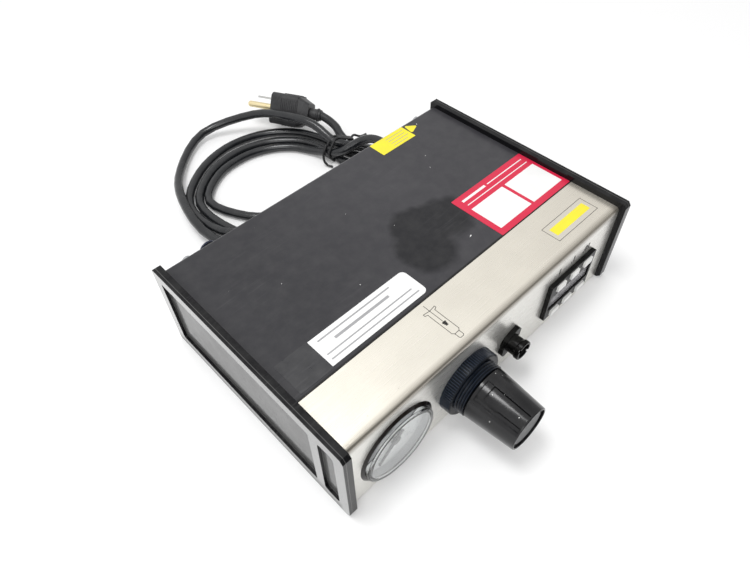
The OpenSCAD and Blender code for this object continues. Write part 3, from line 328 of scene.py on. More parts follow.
def newFinish(name):
    # a new finish: its tree, the inputs of its shader and the place on the piece
    material = finishes[name] = bpy.data.materials.new(name)
    material.use_nodes = True
    tree = material.node_tree
    return tree, tree.nodes["Principled BSDF"].inputs, add(tree, "TexCoord").outputs["Object"]


# wear and dust, the same on every finish
wear = {
    "speckTone": (0.75, 0.75, 0.73), "dustTone": (0.5, 0.49, 0.47), "rubLift": (1.5, 0.05),
    "rubRough": 0.25, "dustRough": 0.3, "bump": 0.35, "glazeIor": 1.9, "clearIor": 1.46,
}


def finish(name, main, second, rough=0.45, spread=0.12, metal=0, grain=900, depth=0.02,
           cloud=60, rubbed=0.25, rub=None, specks=0, speckScale=160, dust=0.03,
           shine=0.5, colour=None, smooth=None, glaze=None, haze=None, clear=0):
    # one finish: two tones in clouds, rubbed marks, specks, dust and a fine grain
    tree, inputs, place = newFinish(name)
    clouds = effect(tree, "mottle", place, Scale=cloud)
    tone = mixColor(tree, clouds, (*main, 1), (*second, 1))
    if colour:
        tone = colour(tree, place, tone)
    marks = effect(tree, "scuffs", place, Amount=rubbed)
    factor, lift = wear["rubLift"]
    tone = tint(tree, tone, marks, rub or [min(1, c * factor + lift) for c in main])
    if specks:
        chips = effect(tree, "specks", place, Scale=speckScale, Size=specks)
        tone = tint(tree, tone, chips, wear["speckTone"])
    dusty = effect(tree, "settledDust", place, Amount=dust)
    feed(inputs["Base Color"], tint(tree, tone, dusty, wear["dustTone"]))
    level = ramp(tree, clouds, 0, 1, rough - spread / 2, rough + spread / 2)
    if smooth:
        level = smooth(tree, place, level)
    level = plus(tree, level, times(tree, marks, wear["rubRough"]))
    feed(inputs["Roughness"], plus(tree, level, times(tree, dusty, wear["dustRough"])))
    bump = add(tree, "Bump", {"Height": effect(tree, "fineGrain", place, Scale=grain),
                              "Strength": wear["bump"], "Distance": depth * mm})
    feed(inputs["Normal"], bump.outputs["Normal"])
    feed(inputs["Metallic"], metal)
    feed(inputs["Specular IOR Level"], shine)
    if glaze:
        feed(inputs["Coat Weight"], glaze(tree, place))
        feed(inputs["Coat IOR"], wear["glazeIor"])
    if haze:
        feed(inputs["Alpha"], haze(tree, place))
    if clear:
        feed(inputs["Transmission Weight"], clear)
        feed(inputs["IOR"], wear["clearIor"])


# the end caps: flat outer faces and sunk grained floors, by the distance from the middle; both are
# painted lighter than the black plastic, a painted sheen for the reflection of the bright table
capLooks = {
    "floorFrom": (107.5, 107.6), "floorTo": (107.9, 107.8), "face": (109.3, 109.4),
    "rail": (1, 8.5), "railDim": 0.2, "railFront": (frontY + 4, frontY + 1),
    # the face and floor tones below are painted sheen, lighter than the plastic itself
    "faceSheenTone": (0.05, 0.051, 0.05), "floorTone": (0.055, 0.055, 0.054),
    "floorRough": 0.15, "floorGlaze": 0.42, "glaze": 0.9,
}


def capMasks(tree, place):
    far = sums(tree, "ABSOLUTE", axis(tree, place, "X"), 0)
    floor = times(
        tree, fade(tree, far, capLooks["floorFrom"]), fade(tree, far, capLooks["floorTo"]))
    # the bottom rail lies in the shade, except at its front end
    rail = larger(tree, fade(tree, axis(tree, place, "Z"), capLooks["rail"], capLooks["railDim"]),
                  fade(tree, axis(tree, place, "Y"), capLooks["railFront"]))
    return times(tree, fade(tree, far, capLooks["face"]), rail), floor


# paints the sheen: outer faces and floors made lighter as a painted reflection
def capTone(tree, place, tone):
    face, floor = capMasks(tree, place)
    tone = tint(tree, tone, face, capLooks["faceSheenTone"])
    return tint(tree, tone, floor, capLooks["floorTone"])


def capRough(tree, place, level):
    return plus(tree, level, times(tree, capMasks(tree, place)[1], capLooks["floorRough"]))


def capGlaze(tree, place):
    # the side faces gleam more than the edges
    face, floor = capMasks(tree, place)
    both = plus(tree, face, times(tree, floor, capLooks["floorGlaze"]))
    return times(tree, both, capLooks["glaze"])


# the cover: painted shade that darkens it to the left, and a painted dark reflection in
# overlapping soft patches
coverLooks = {
    "patches": [((5, -5, 0), 19, 6), ((27, 6, 0), 18, 6), ((16, 7, 0), 19, 5)],
    "reflectionTone": (0.004, 0.004, 0.006), "reflectionAmount": 0.92, "patchRough": 0.04,
    "left": (20, -70), "leftShadeAmount": 0.6, "leftShadeTone": (0.01, 0.01, 0.013),
    "seam": (frontY + 34, frontY + 33.3),
}


def patchMask(tree, place, middle, reach, edge):
    # a soft-edged patch round a place, drawn out by a slow noise
    wave = ramp(tree, noiseAt(tree, place, 30, 3), 0.3, 0.7, -edge * mm, edge * mm)
    far = plus(tree, distanceFrom(tree, place, middle, (1, 1, 0)), wave)
    return fade(tree, far, (reach, reach - edge))


def coverPatch(tree, place):
    mask = 0.0
    for patch in coverLooks["patches"]:
        mask = larger(tree, mask, patchMask(tree, place, *patch))
    return mask


def coverTone(tree, place, tone):
    # painted shade: the cover is darkened towards the left
    left = fade(tree, axis(tree, place, "X"), coverLooks["left"], 0, coverLooks["leftShadeAmount"])
    tone = tint(tree, tone, left, coverLooks["leftShadeTone"])
    tone = tint(tree, tone, fade(tree, axis(tree, place, "Y"), coverLooks["seam"]), (0, 0, 0))
    # painted dark reflection: the cover is darkened where the patches lie
    patch = times(tree, coverPatch(tree, place), coverLooks["reflectionAmount"])
    return tint(tree, tone, patch, coverLooks["reflectionTone"])


def coverRough(tree, place, level):
    return plus(tree, level, times(tree, coverPatch(tree, place), coverLooks["patchRough"]))


# the nut and the thread: crests painted lighter as painted highlights over dark valleys, by the
# distance from their axis
ribLooks = {
    "middle": (-25.2, 0, 25.5), "nutCrest": (18.75, 19.15), "threadCrest": (15.25, 15.55),
    "beyond": (15.7, 15.8), "tone": (0.02, 0.028, 0.045), "amount": 0.9,
}


def ribTone(tree, place, tone):
    far = distanceFrom(tree, place, ribLooks["middle"], (1, 0, 1))
    nut, thread, beyond = [fade(tree, far, ribLooks[key])
                           for key in ("nutCrest", "threadCrest", "beyond")]
    crest = larger(tree, nut, sums(tree, "SUBTRACT", thread, beyond))
    # painted highlight: the crests get a lighter bluish tone
    return tint(tree, tone, crest, ribLooks["tone"], ribLooks["amount"])


def caseTone(tree, place, tone):
    # the wall in front of the dial is painted pale, painted light in place of the shade that falls
    # there
    wall = fade(tree, axis(tree, place, "Y"), (-56.1, -56.4))
    return tint(tree, tone, wall, (0.6, 0.6, 0.61))


def windowHaze(tree, place):
    # a grey veil that thickens towards a flat glance: partly the window's haze, partly a painted
    # reflection
    clouds = effect(tree, "mottle", place, Scale=200)
    veil = ramp(tree, add(tree, "LayerWeight").outputs["Facing"], 0.1, 0.5, 0.12, 0.5)
    return plus(tree, veil, times(tree, clouds, 0.1))


# the front's steel: fine brushing along the width, painted lighter and warmer to the left as
# painted light
steelLooks = {
    "warm": (0.95, 0.91, 0.81), "cool": (0.88, 0.83, 0.73), "width": (-100, 100),
    "front": (frontY + 0.6, frontY + 0.2), "bendY": (frontY + 4.6, frontY + 0.9),
    "bendZ": (topZ - 5.2, topZ - 1.4), "metal": 0.74, "rough": (0.26, 0.31),
}


def brushedSteel(looks):
    tree, inputs, place = newFinish("brushedSteel")
    lines = add(tree, "Mapping", {"Vector": place, "Scale": (0.012, 1, 1)}).outputs[0]
    brush = noiseAt(tree, lines, 3200, 3, 0.75)
    # painted light: the steel is lighter to the left, darker to the right
    tone = mixColor(tree, fade(tree, axis(tree, place, "X"), looks["width"]),
                    (*looks["warm"], 1), (*looks["cool"], 1))
    bend = times(tree, fade(tree, axis(tree, place, "Y"), looks["bendY"]),
                 fade(tree, axis(tree, place, "Z"), looks["bendZ"]))
    for mask, paint, amount in (
            (effect(tree, "mottle", place, Scale=34), (0.5, 0.47, 0.41), 0.16),
            (effect(tree, "mottle", place, Scale=11), (0.55, 0.5, 0.42), 0.1),
            (ramp(tree, brush, 0.35, 0.7), (0.4, 0.38, 0.34), 0.05),
            # painted shade: the front face is a cooler, darker copy of the steel on top
            (fade(tree, axis(tree, place, "Y"), looks["front"]), (0.82, 0.82, 0.8), 0.7),
            (bend, (0.2, 0.175, 0.14), 0.72),  # the bend over the front edge is painted darker, a painted reflection of the dark space in front
            (effect(tree, "specks", place, Scale=210, Size=0.07), (0.2, 0.17, 0.13), 1)):
        tone = tint(tree, tone, mask, paint, amount)
    feed(inputs["Base Color"], tone)
    marks = effect(tree, "scuffs", place, Amount=0.3)
    level = ramp(tree, brush, 0.3, 0.7, *looks["rough"])
    feed(inputs["Roughness"], plus(tree, level, times(tree, marks, 0.2)))
    bump = add(tree, "Bump", {"Height": brush, "Strength": 0.05, "Distance": 0.02 * mm})
    feed(inputs["Normal"], bump.outputs["Normal"])
    feed(inputs["Metallic"], looks["metal"])


brushedSteel(steelLooks)
finish("capGloss", (0.004, 0.004, 0.005), (0.007, 0.007, 0.008), 0.2, 0.08, grain=2600, depth=0.03,
       rubbed=0.3, specks=0.05, shine=0.22, colour=capTone, smooth=capRough, glaze=capGlaze)
finish("coverPaint", (0.036, 0.035, 0.04), (0.043, 0.042, 0.047), 0.34, 0.08, grain=1500, cloud=24,
       rubbed=0.1, specks=0.05, dust=0.03, shine=0.42, colour=coverTone, smooth=coverRough)
finish("zincPlate", (0.55, 0.56, 0.57), (0.42, 0.43, 0.44), 0.36, 0.16, metal=1)
finish("bezelBrown", (0.006, 0.004, 0.003), (0.01, 0.007, 0.006), 0.22, shine=0.25)
finish("gaugeCase", (0.004, 0.004, 0.004), (0.007, 0.007, 0.007), 0.35, shine=0.2, colour=caseTone)
finish("dialWhite", (0.92, 0.92, 0.91), (0.88, 0.89, 0.89), 0.5, rubbed=0.05, dust=0)
finish("clearLens", (0.97, 0.98, 0.98), (0.93, 0.95, 0.95), 0.05, 0.04, clear=1, rubbed=0.2,
       dust=0.04, rub=(0.95, 0.95, 0.95), depth=0.004, grain=300)
finish("brass", (0.72, 0.52, 0.22), (0.55, 0.4, 0.18), 0.3, metal=1)
finish("dieCast", (0.42, 0.43, 0.44), (0.34, 0.35, 0.36), 0.45, metal=0.9, grain=500, depth=0.05)
finish("nutBlack", (0.002, 0.003, 0.005), (0.004, 0.006, 0.01), 0.28, rubbed=0.3, specks=0.05,
       shine=0.12, colour=ribTone)
finish("knobBlack", (0.005, 0.005, 0.006), (0.009, 0.009, 0.01), 0.16, 0.04, rubbed=0.4,
       specks=0.17, speckScale=500, dust=0.02, shine=0.4, depth=0.004)
finish("discGrey", (0.11, 0.11, 0.113), (0.17, 0.17, 0.175), 0.45, cloud=500, shine=0.15)
finish("plasticBlack", (0.003, 0.003, 0.003), (0.005, 0.005, 0.005), 0.26, shine=0.1)
finish("plasticWhite", (0.88, 0.88, 0.86), (0.84, 0.84, 0.82), 0.35, dust=0.02,
       rub=(0.6, 0.6, 0.58))
finish("windowClear", (0.42, 0.41, 0.43), (0.36, 0.355, 0.37), 0.15, dust=0.1, shine=0.6,
       haze=windowHaze)
finish("collarDark", (0.008, 0.011, 0.03), (0.012, 0.016, 0.04), 0.3, shine=0.3)
finish("tubeBlue", (0.03, 0.1, 0.42), (0.04, 0.13, 0.5), 0.25)
finish("boardGreen", (0.01, 0.14, 0.05), (0.015, 0.19, 0.07), 0.4, cloud=300)
finish("cordVinyl", (0.007, 0.008, 0.01), (0.012, 0.013, 0.015), 0.24, 0.08, rubbed=0.2, cloud=90,
       shine=0.6)
finish("plugVinyl", (0.022, 0.022, 0.024), (0.034, 0.034, 0.036), 0.42, rubbed=0.3, dust=0.06,
       shine=0.35)
finish("coreSteel", (0.2, 0.19, 0.18), (0.28, 0.26, 0.24), 0.5, metal=0.7, cloud=200)
finish("bladeSilver", (0.72, 0.72, 0.7), (0.55, 0.55, 0.53), 0.25, metal=1)
finish("pinGold", (0.95, 0.85, 0.56), (0.85, 0.72, 0.42), 0.3, metal=0.8)
finish("tieBlack", (0.012, 0.012, 0.013), (0.02, 0.02, 0.021), 0.35)
finish("paperWhite", (0.86, 0.86, 0.85), (0.8, 0.8, 0.79), 0.38, rubbed=0.12, rub=(0.6, 0.6, 0.6))
finish("paperBlack", (0.024, 0.024, 0.027), (0.03, 0.03, 0.033), 0.3)
finish("paperRed", (0.66, 0.014, 0.06), (0.6, 0.014, 0.055), 0.34, rubbed=0.12,
       rub=(0.65, 0.2, 0.2))
finish("paperYellow", (0.88, 0.78, 0.03), (0.8, 0.7, 0.03), 0.36, rubbed=0.12,
       rub=(0.9, 0.85, 0.4))
finish("printInk", (0.012, 0.011, 0.01), (0.02, 0.019, 0.018), 0.5, rubbed=0.1, shine=0.2)
finish("greyInk", (0.3, 0.3, 0.31), (0.36, 0.36, 0.37), 0.5, rubbed=0.05)
print("finishes made:", len(finishes))


# hand tools for the lead and its tie
def smoothLine(points, steps):
    points = [Vector(p) for p in points]
    line = []
    for i in range(len(points) - 1):
        b, c = points[i], points[i + 1]
        a = points[i - 1] if i else 2 * b - c
        d = points[i + 2] if i + 2 < len(points) else 2 * c - b
        for k in range(steps):
            t = k / steps
            line.append(0.5 * (2 * b + (c - a) * t + (2 * a - 5 * b + 4 * c - d) * t * t
                               + (3 * b - a - 3 * c + d) * t ** 3))
    return line + [points[-1]]


def newTube(name, radius, roundness):
    curve = bpy.data.curves.new(name, "CURVE")
    curve.dimensions = "3D"
    curve.bevel_depth = radius * mm
    curve.bevel_resolution = roundness
    curve.use_fill_caps = True
    tube = bpy.data.objects.new(name, curve)
    scene.collection.objects.link(tube)
    return tube


def layLine(tube, points, closed=False):
    spline = tube.data.splines.new("POLY")
    spline.points.add(len(points) - 1)
    for point, place in zip(spline.points, points):
        point.co = (*at(*place), 1)
    spline.use_smooth = True
    spline.use_cyclic_u = closed


# the mains lead, in millimetres on the table it lies on
tableHigh = (3.2,)  # the middle of a cord that lies on the table
leadSizes = {
    "width": 6.4,
    "coilMiddle": (22, 145),
    "turnAngles": (0, 24, 48, 72, 98, 126, 156, 190, 226, 262, 288, 306, 320, 333, 347),
    "turnRadii": (
        (40.5, 39.5, 42, 45, 49, 54.5, 58.5, 43.5, 33.5, 33, 36.5, 52.5, 58.5, 56, 46),
        (44.5, 47.5, 50.5, 53.5, 57, 61.5, 65.5, 59.5, 61.5, 50.5, 52, 65.5, 77, 74, 58.5),
        (53, 56.5, 61.5, 65.5, 68, 69.5, 72.5, 67, 54.5, 43, 45, 60, 74.5, 74.5, 61.5),
        (46, 46, 52.5, 73.5, 93.5, 84, 76, 75, 68.5, 57.5, 60, 70.5, 85, 85.5, 71.5)),
    "turnHeights": (
        (8.5, 4, 3.5) + tableHigh * 12,
        tableHigh * 15,
        tableHigh * 5 + (3.5, 4, 7.5, 9.5, 4, 6, 9.5, 9.5, 10, 10),
        (15.5, 23, 24, 17.5, 6.5, 5, 10, 7.5, 4, 3.5, 5, 9.5, 9.5, 6, 4)),
    "feed": ((84, 107, 24), (83.9, 115, 23.8), (82.4, 122.4, 22), (78.3, 128.2, 19),
             (72.4, 131.9, 15.6), (66.5, 135.9, 12.3)),
    "run": ((81.5, 144, 7.6), (80.8, 153.3, 10.5), (83.2, 161.2, 12.5), (83.4, 169.4, 14.4),
            (82.3, 177.1, 15.8)),
    "steps": 4,  # smooth steps between two of the points
}


def makeLead(sizes):
    path = list(sizes["feed"])
    midX, midY = sizes["coilMiddle"]
    for radii, heights in zip(sizes["turnRadii"], sizes["turnHeights"]):
        for angle, radius, height in zip(sizes["turnAngles"], radii, heights):
            turn = radians(angle)
            path.append((midX + radius * cos(turn), midY + radius * sin(turn), height))
    path = smoothLine(path + list(sizes["run"]), sizes["steps"])
    lead = newTube("mainsLead", sizes["width"] / 2, 6)
    layLine(lead, path)
    lead.data.materials.append(finishes["cordVinyl"])
    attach(lead, "enclosure")
    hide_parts("cord_feed", "cord_coil", "cord_loop", "cord_end")
    length = sum((b - a).length for a, b in zip(path, path[1:]))
    print("lead laid, millimetres:", round(length))
    return lead, length * mm


lead, leadLength = makeLead(leadSizes)

# the plug, drawn from its face towards the cord and then laid where it rests
plugSizes = {
    "place": (63.5, 212.4, 15.8), "heading": -62, "roll": 55,
    "thick": 20, "wide": 24, "straight": 22.5, "corner": 4, "edge": 0.7,
    "shoulderIn": 0.6, "shoulders": ((4.2, 0.9, 0.82), (4.3, 0.84, 0.8)),
    # ribs of the wide and the narrow sides: count, first, step, half length, taper, thickness
    "wideRibs": (9, 8.2, 1.55, 8.6, 0.12, 0.8), "narrowRibs": (5, 9.5, 2.6, 5.6, 0, 1.1),
    "ribProud": 0.45, "ribEdge": 0.25,
    "sleeve": (32, 4.6, 10.4, (0, 0, 34.8)), "sleeveTip": 0.93,
    "rings": ((29.4, 6.2), (37.2, 5.2)), "ringThick": 1.1,
    "bladeGap": 6.35, "bladeLength": 17.5, "bladeWide": 6.35, "bladeThick": 1.5, "bladeBack": 4,
    "bladeTip": 1.5, "tipFrom": -10, "hole": 1.6, "holeAt": -13.5, "drill": 6, "sunk": 0.2,
    "pinRadius": 2.4, "pinLength": 20.5, "pinDrop": 5.9, "pinTip": 2,
}


def layPlug(piece, sizes):
    piece.matrix_world = (Matrix.Translation(at(*sizes["place"])) @ turned(sizes["heading"], "Z")
                          @ turned(sizes["roll"], "X") @ turned(90, "Y") @ piece.matrix_world)


def plugRibs(sizes, kind, span):
    # a row of cross ribs that stand proud of one side
    count, first, step, half, taper, thick = sizes[kind]
    ribs = []
    for i in range(count):
        z0, reach = first + i * step, half - i * taper
        spans = [span, (-reach, reach)] if kind == "wideRibs" else [(-reach, reach), span]
        ribs.append(slab("rib", *spans, (z0, z0 + thick)))
        bevelEdges(ribs[-1], sizes["ribEdge"], 2)
    return ribs


def makePlug(sizes):
    thick, wide, edge = sizes["thick"], sizes["wide"], sizes["edge"]
    grip = slab("plugBody", (-thick / 2, thick / 2), (-wide / 2, wide / 2),
                (0, sizes["straight"]), sizes["corner"], 6)
    # the shoulders draw in to the round nose
    pickParts(grip, "FACE", lambda c, n: n.z > 0.9)
    bpy.ops.mesh.inset(thickness=sizes["shoulderIn"] * mm, depth=0)
    for shoulder in sizes["shoulders"]:
        drawUp(*shoulder)
    endEdit()
    bevelEdges(grip, edge, 3, lambda a, b: max(a.z, b.z) < 0.1 * mm)
    parts = [grip]
    for side in (-1, 1):
        for kind, far in (("wideRibs", side * thick / 2), ("narrowRibs", side * wide / 2)):
            parts += plugRibs(sizes, kind, (far - sizes["ribProud"], far + sizes["ribProud"]))
    # stepped sleeve over the cord
    sleeve = cylinder(*sizes["sleeve"])
    fixPlace(sleeve)
    pickParts(sleeve, "FACE", lambda c, n: n.z > 0.9)
    bpy.ops.transform.resize(value=(sizes["sleeveTip"], sizes["sleeveTip"], 1))
    endEdit()
    bevelEdges(sleeve, edge, 3, lambda a, b: abs(a.z - b.z) < 0.01 * mm)
    parts.append(sleeve)
    thin = sizes["ringThick"]
    for z0, radius in sizes["rings"]:
        bpy.ops.mesh.primitive_torus_add(
            major_radius=(radius - thin) * mm, minor_radius=thin * mm,
            major_segments=32, minor_segments=10, location=at(0, 0, z0))
        parts.append(bpy.context.object)
    body = joinPieces(parts, "plugBody")
    layPlug(body, sizes)
    settle(body, "plugVinyl")
    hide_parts("plug_body")
    return body


def makeBlades(sizes):
    # two flat blades with a hole and a pointed end, and the round earth pin
    side = sizes["thick"] / 2 - sizes["bladeBack"]
    wide, half = sizes["bladeWide"] / 2, sizes["bladeThick"] / 2
    parts = []
    for y0 in (-sizes["bladeGap"], sizes["bladeGap"]):
        blade = slab("blade", (side - wide, side + wide), (y0 - half, y0 + half),
                     (-sizes["bladeLength"], sizes["sunk"]))
        bevelEdges(blade, sizes["bladeTip"], 3, lambda a, b: abs(a.y - b.y) > 0.5 * mm
                   and max(a.z, b.z) < sizes["tipFrom"] * mm)
        place = (side, y0, sizes["holeAt"])
        drill = cylinder(20, sizes["hole"], sizes["drill"], place, facingFront)
        pick(blade)
        hole = blade.modifiers.new("hole", "BOOLEAN")
        hole.object = drill
        hole.operation = "DIFFERENCE"
        hole.solver = "EXACT"
        bpy.ops.object.modifier_apply(modifier=hole.name)
        bpy.data.objects.remove(drill)
        parts.append(blade)
    blades = joinPieces(parts, "plugBlades")
    layPlug(blades, sizes)
    settle(blades, "bladeSilver")
    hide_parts("plug_prongs")
    length = sizes["pinLength"]
    place = (-sizes["pinDrop"], 0, sizes["sunk"] - length / 2)
    pin = cylinder(28, sizes["pinRadius"], length, place)
    fixPlace(pin)
    bevelEdges(pin, sizes["pinTip"], 6, lambda a, b: max(a.z, b.z) < -0.9 * length * mm)
    pin.name = "earthPin"
    layPlug(pin, sizes)
    settle(pin, "pinGold")
    return blades, pin


plugBody = makePlug(plugSizes)
plugBlades, earthPin = makeBlades(plugSizes)
print("plug made")

# the twist tie, a band drawn round the bundle and its loose ends
tieSizes = {
    "middle": 145, "thick": 0.9, "slack": 3.75, "low": 0.95, "around": 72,
    "bands": ((-1.7, 0.5), (1.5, -0.7)),  # shift and lean of each
    "strands": [(62.5, 8.5), (66.5, 3.6), (75, 3.6), (68, 15.6), (81.1, 7.9)],
    "tail": [(84.6, 146.6, 8.6), (88, 146.2, 10.4), (92.2, 143.6, 8.4), (96.6, 141, 9.6)],
    "loop": [(60.2, 146.4, 15), (57, 146, 10.5), (55.4, 144.4, 5), (56.4, 141.8, 1.5),
             (58, 138, 1.2)],
}


def makeTie(sizes):
    tie = newTube("cordTie", sizes["thick"], 3)
    for shift, lean in sizes["bands"]:
        ring = []
        for i in range(sizes["around"]):
            angle = 2 * pi * i / sizes["around"]
            way = (cos(angle), sin(angle))
            x, z = max(sizes["strands"], key=lambda s: s[0] * way[0] + s[1] * way[1])
            ring.append((x + sizes["slack"] * way[0], sizes["middle"] + shift + lean * way[0],
                         max(sizes["low"], z + sizes["slack"] * way[1])))
        layLine(tie, ring, True)
    for loose in ("tail", "loop"):
        layLine(tie, smoothLine(sizes[loose], 5))
    pick(tie)
    bpy.ops.object.convert(target="MESH")
    tie = bpy.context.object
    settle(tie, "tieBlack")
    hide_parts("cord_tie")
    return tie


cordTie = makeTie(tieSizes)

# each CAD piece gets its finish
nodeFinishes = {
    "capGloss": "end_cap_left end_cap_right",
    "coverPaint": "top_cover rear_panel",
    "brushedSteel": "front_fascia",
    "zincPlate": "chassis rear_screws cap_screws gauge_clamp switch_spindle adjusting_stem",
    "bezelBrown": "gauge_bezel",
    "dialWhite": "gauge_dial",
    "clearLens": "gauge_lens",
    "brass": "gauge_movement bourdon_tube gauge_stem board_pillars",
    "dieCast": "regulator_body solenoid_valve exhaust_muffler",
    "nutBlack": "panel_nut regulator_bonnet",
    "knobBlack": "regulator_knob",
    "discGrey": "knob_disc",
    "gaugeCase": "gauge_case",
    "plasticBlack": "gauge_needle outlet_flange outlet_body outlet_nut switch_housing "
                    "power_switch_frame power_rocker fuse_holder fuse_cap foot_socket "
                    "strain_relief air_inlet",
    "plasticWhite": "digit_wheel_1 digit_wheel_2 digit_wheel_3 plus_button_1 plus_button_2 "
                    "plus_button_3 minus_button_1 minus_button_2 minus_button_3",
    "windowClear": "switch_window",
    "collarDark": "inlet_collar",
    "tubeBlue": "air_tubing",
    "boardGreen": "circuit_board",
    "coreSteel": "transformer",
    "cordVinyl": "cord_feed cord_coil cord_loop cord_end",
    "tieBlack": "cord_tie",
    "plugVinyl": "plug_body",
    "bladeSilver": "plug_prongs",
}
bare = set(nodes)
for look, names in nodeFinishes.items():
    for nodeName in names.split():
        bare.remove(nodeName)
        for materialSlot in nodes[nodeName].material_slots:
            materialSlot.material = finishes[look]
print("nodes finished, left bare:", sorted(bare))

# the regulator knob, drawn out along its own axis and then laid along Y
knobSizes = {
    "middle": (-25.2, 25.5), "sides": 120, "start": 12.1, "reach": 40.4, "base": 15, "tip": 12.6,
    "baseEdge": 0.3, "tipEdge": 0.35, "ringEdge": 0.2,
    "softEdge": 0.12, "softFrom": 28, "smoothTo": 60,
    "sleeve": 12.3, "sleeveTo": 24, "insideEnd": 36, "insideTip": 10.3,
    "ring": 11.6, "ringDeep": 1.5, "disc": 9.85, "discDeep": 2,
    "panels": (117, 237, 357), "panelHalf": 23.5, "panelFrom": 13.9, "panelTo": 39.4,
    "panelDeep": 0.75, "panelSlope": 0.2, "padSpan": (-21, 11), "padFrom": 18.6,
    "slotEnd": 17, "slotTo": 26.6,
    "channel": 0.8, "channelEnd": 14, "channelDeep": 1.1, "channelSlope": 0.06,
}


def knobSkin(sizes):
    # rings from the floor of the hollow, round the rim and out to the sunk end
    start, reach, base, tip = sizes["start"], sizes["reach"], sizes["base"], sizes["tip"]
    sleeve, ring, disc = sizes["sleeve"], sizes["ring"], sizes["disc"]
    skin = [(base + (tip - base) * (z - start) / (reach - start), z)
            for z in (sizes["panelFrom"], sizes["padFrom"] - sizes["channel"], sizes["padFrom"],
                      sizes["slotTo"], sizes["panelTo"])]
    baseEdge, tipEdge, ringEdge = sizes["baseEdge"], sizes["tipEdge"], sizes["ringEdge"]
    floor = reach - sizes["ringDeep"]
    return [(sleeve, sizes["sleeveTo"]), (sleeve, start), (base - baseEdge, start),
            (base, start + baseEdge), *skin, (tip, reach - tipEdge), (tip - tipEdge, reach),
            (ring + ringEdge, reach), (ring, reach - ringEdge), (ring, floor), (disc, floor),
            (disc, reach - sizes["discDeep"])]


def sinkSkin(knob, sizes, kind, wanted):
    # pushes the chosen part of the knob's outer skin inwards, with a sloped edge
    def chosen(c, n):
        angle = degrees(atan2(c.y, c.x))
        outward = (n.x * c.x + n.y * c.y) / hypot(c.x, c.y)
        turns = [(angle - a + 180) % 360 - 180 for a in sizes["panels"]]
        return outward > 0.7 and any(wanted(turn, c.z / mm) for turn in turns)

    pickParts(knob, "FACE", chosen)
    slope, deep = sizes[kind + "Slope"] * mm, sizes[kind + "Deep"] * mm
    bpy.ops.mesh.inset(thickness=slope, depth=-deep, use_even_offset=True)
    endEdit()


def makeKnob(sizes):
    radius, height = sizes["insideTip"], sizes["insideEnd"]
    bpy.ops.mesh.primitive_circle_add(
        vertices=sizes["sides"], radius=radius * mm, fill_type="NGON", location=at(0, 0, height))
    knob = bpy.context.object
    knob.name = "regulatorKnob"
    fixPlace(knob)
    pickParts(knob, "FACE", lambda c, n: True)
    for nextRadius, nextHeight in knobSkin(sizes):
        drawUp(nextHeight - height, nextRadius / radius, nextRadius / radius)
        radius, height = nextRadius, nextHeight
    closeSkin()
    half, padFrom, panelTo = sizes["panelHalf"], sizes["padFrom"], sizes["panelTo"]
    padA, padB = sizes["padSpan"]
    channelFrom, channelEnd = padFrom - sizes["channel"], sizes["channelEnd"]
    sinkSkin(knob, sizes, "panel", lambda turn, z: abs(turn) < half
             and sizes["panelFrom"] < z < panelTo and not (padA < turn < padB and z > padFrom))
    # a narrow channel runs round the pad and widens into a slot on one side
    sinkSkin(knob, sizes, "channel", lambda turn, z: -half < turn
             and (channelFrom < z < padFrom and turn < channelEnd
                  or padFrom < z < panelTo and (turn < padA or padB < turn < channelEnd)
                  or sizes["panelFrom"] < z < sizes["slotTo"] and padB < turn < sizes["slotEnd"]))
    pick(knob)
    soft = knob.modifiers.new("soft", "BEVEL")
    soft.width = sizes["softEdge"] * mm
    soft.segments = 2
    soft.limit_method = "ANGLE"
    soft.angle_limit = radians(sizes["softFrom"])
    bpy.ops.object.modifier_apply(modifier=soft.name)
    midX, midZ = sizes["middle"]
    knob.matrix_world = Matrix.Translation(at(midX, frontY, midZ)) @ turned(90, "X")
    settle(knob, "knobBlack", "knob", sizes["smoothTo"])
    even = knob.modifiers.new("even", "WEIGHTED_NORMAL")
    even.weight = 100
    bpy.ops.object.modifier_apply(modifier=even.name)
    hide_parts("regulator_knob")
    print("knob made, faces:", len(knob.data.polygons))


makeKnob(knobSizes)

# printed cards and marks on the top, millimetres from the middle of the case
cardSizes = {
    "thick": 0.12,
    # x span, y span and corner of each card
    "whiteCard": ((-80.3, -16), (-25, -6.5), 3),
    "ruled": [(-76.5, -29, -9.6, 0.9), (-69, -33, -13.6, 1.6),
              (-78, -21.5, -18.4, 0.8), (-78, -19.5, -21.8, 0.8)],
    "blackCard": ((-100, -80.5), (-26, -6), 0.6),
    "redCard": ((41, 104.2), (-27.4, 10), 0.5),
    "redPanels": [((44.8, 72.4), (-23.3, -2), 0.3), ((74.8, 101.9), (-23.3, -2), 0.3)],
    "panelSunk": 0.08,
    "redRules": [(46, 66, 5.6, 1.7), (68, 100.5, 5.6, 0.7), (46, 101, 1.6, 0.6)],
    "yellowCard": ((44.5, 73), (68.3, 81.2), 0.4),
    "yellowRules": [(56, 71, 78.4, 0.35), (56, 70, 75.8, 0.35), (56, 71, 73.2, 0.35),
                    (56, 68.5, 70.6, 0.35)],
    "yellowTab": [(74.6, 73.2), (79.8, 75.4), (75.4, 79)], "tabRound": 0.9,
    "frame": ((59, 95.8), (-51.8, -39.7)), "frameLine": 0.28,
    "bar": ((62, 92.8), (-48.6, -42.8), 0.4), "barThick": 0.06,
}


def onTop(name, xSpan, ySpan, corner=0, thick=inkDeep, lift=0, rightOnly=False):
    # a flat piece on the cover or the strip
    low = topZ + lift
    return slab(name, xSpan, ySpan, (low, low + thick), corner, 5, rightOnly)


def cardOn(name, card, look, lift=0, rightOnly=False):
    piece = onTop(name, *card, cardSizes["thick"], lift, rightOnly)
    settle(piece, look)


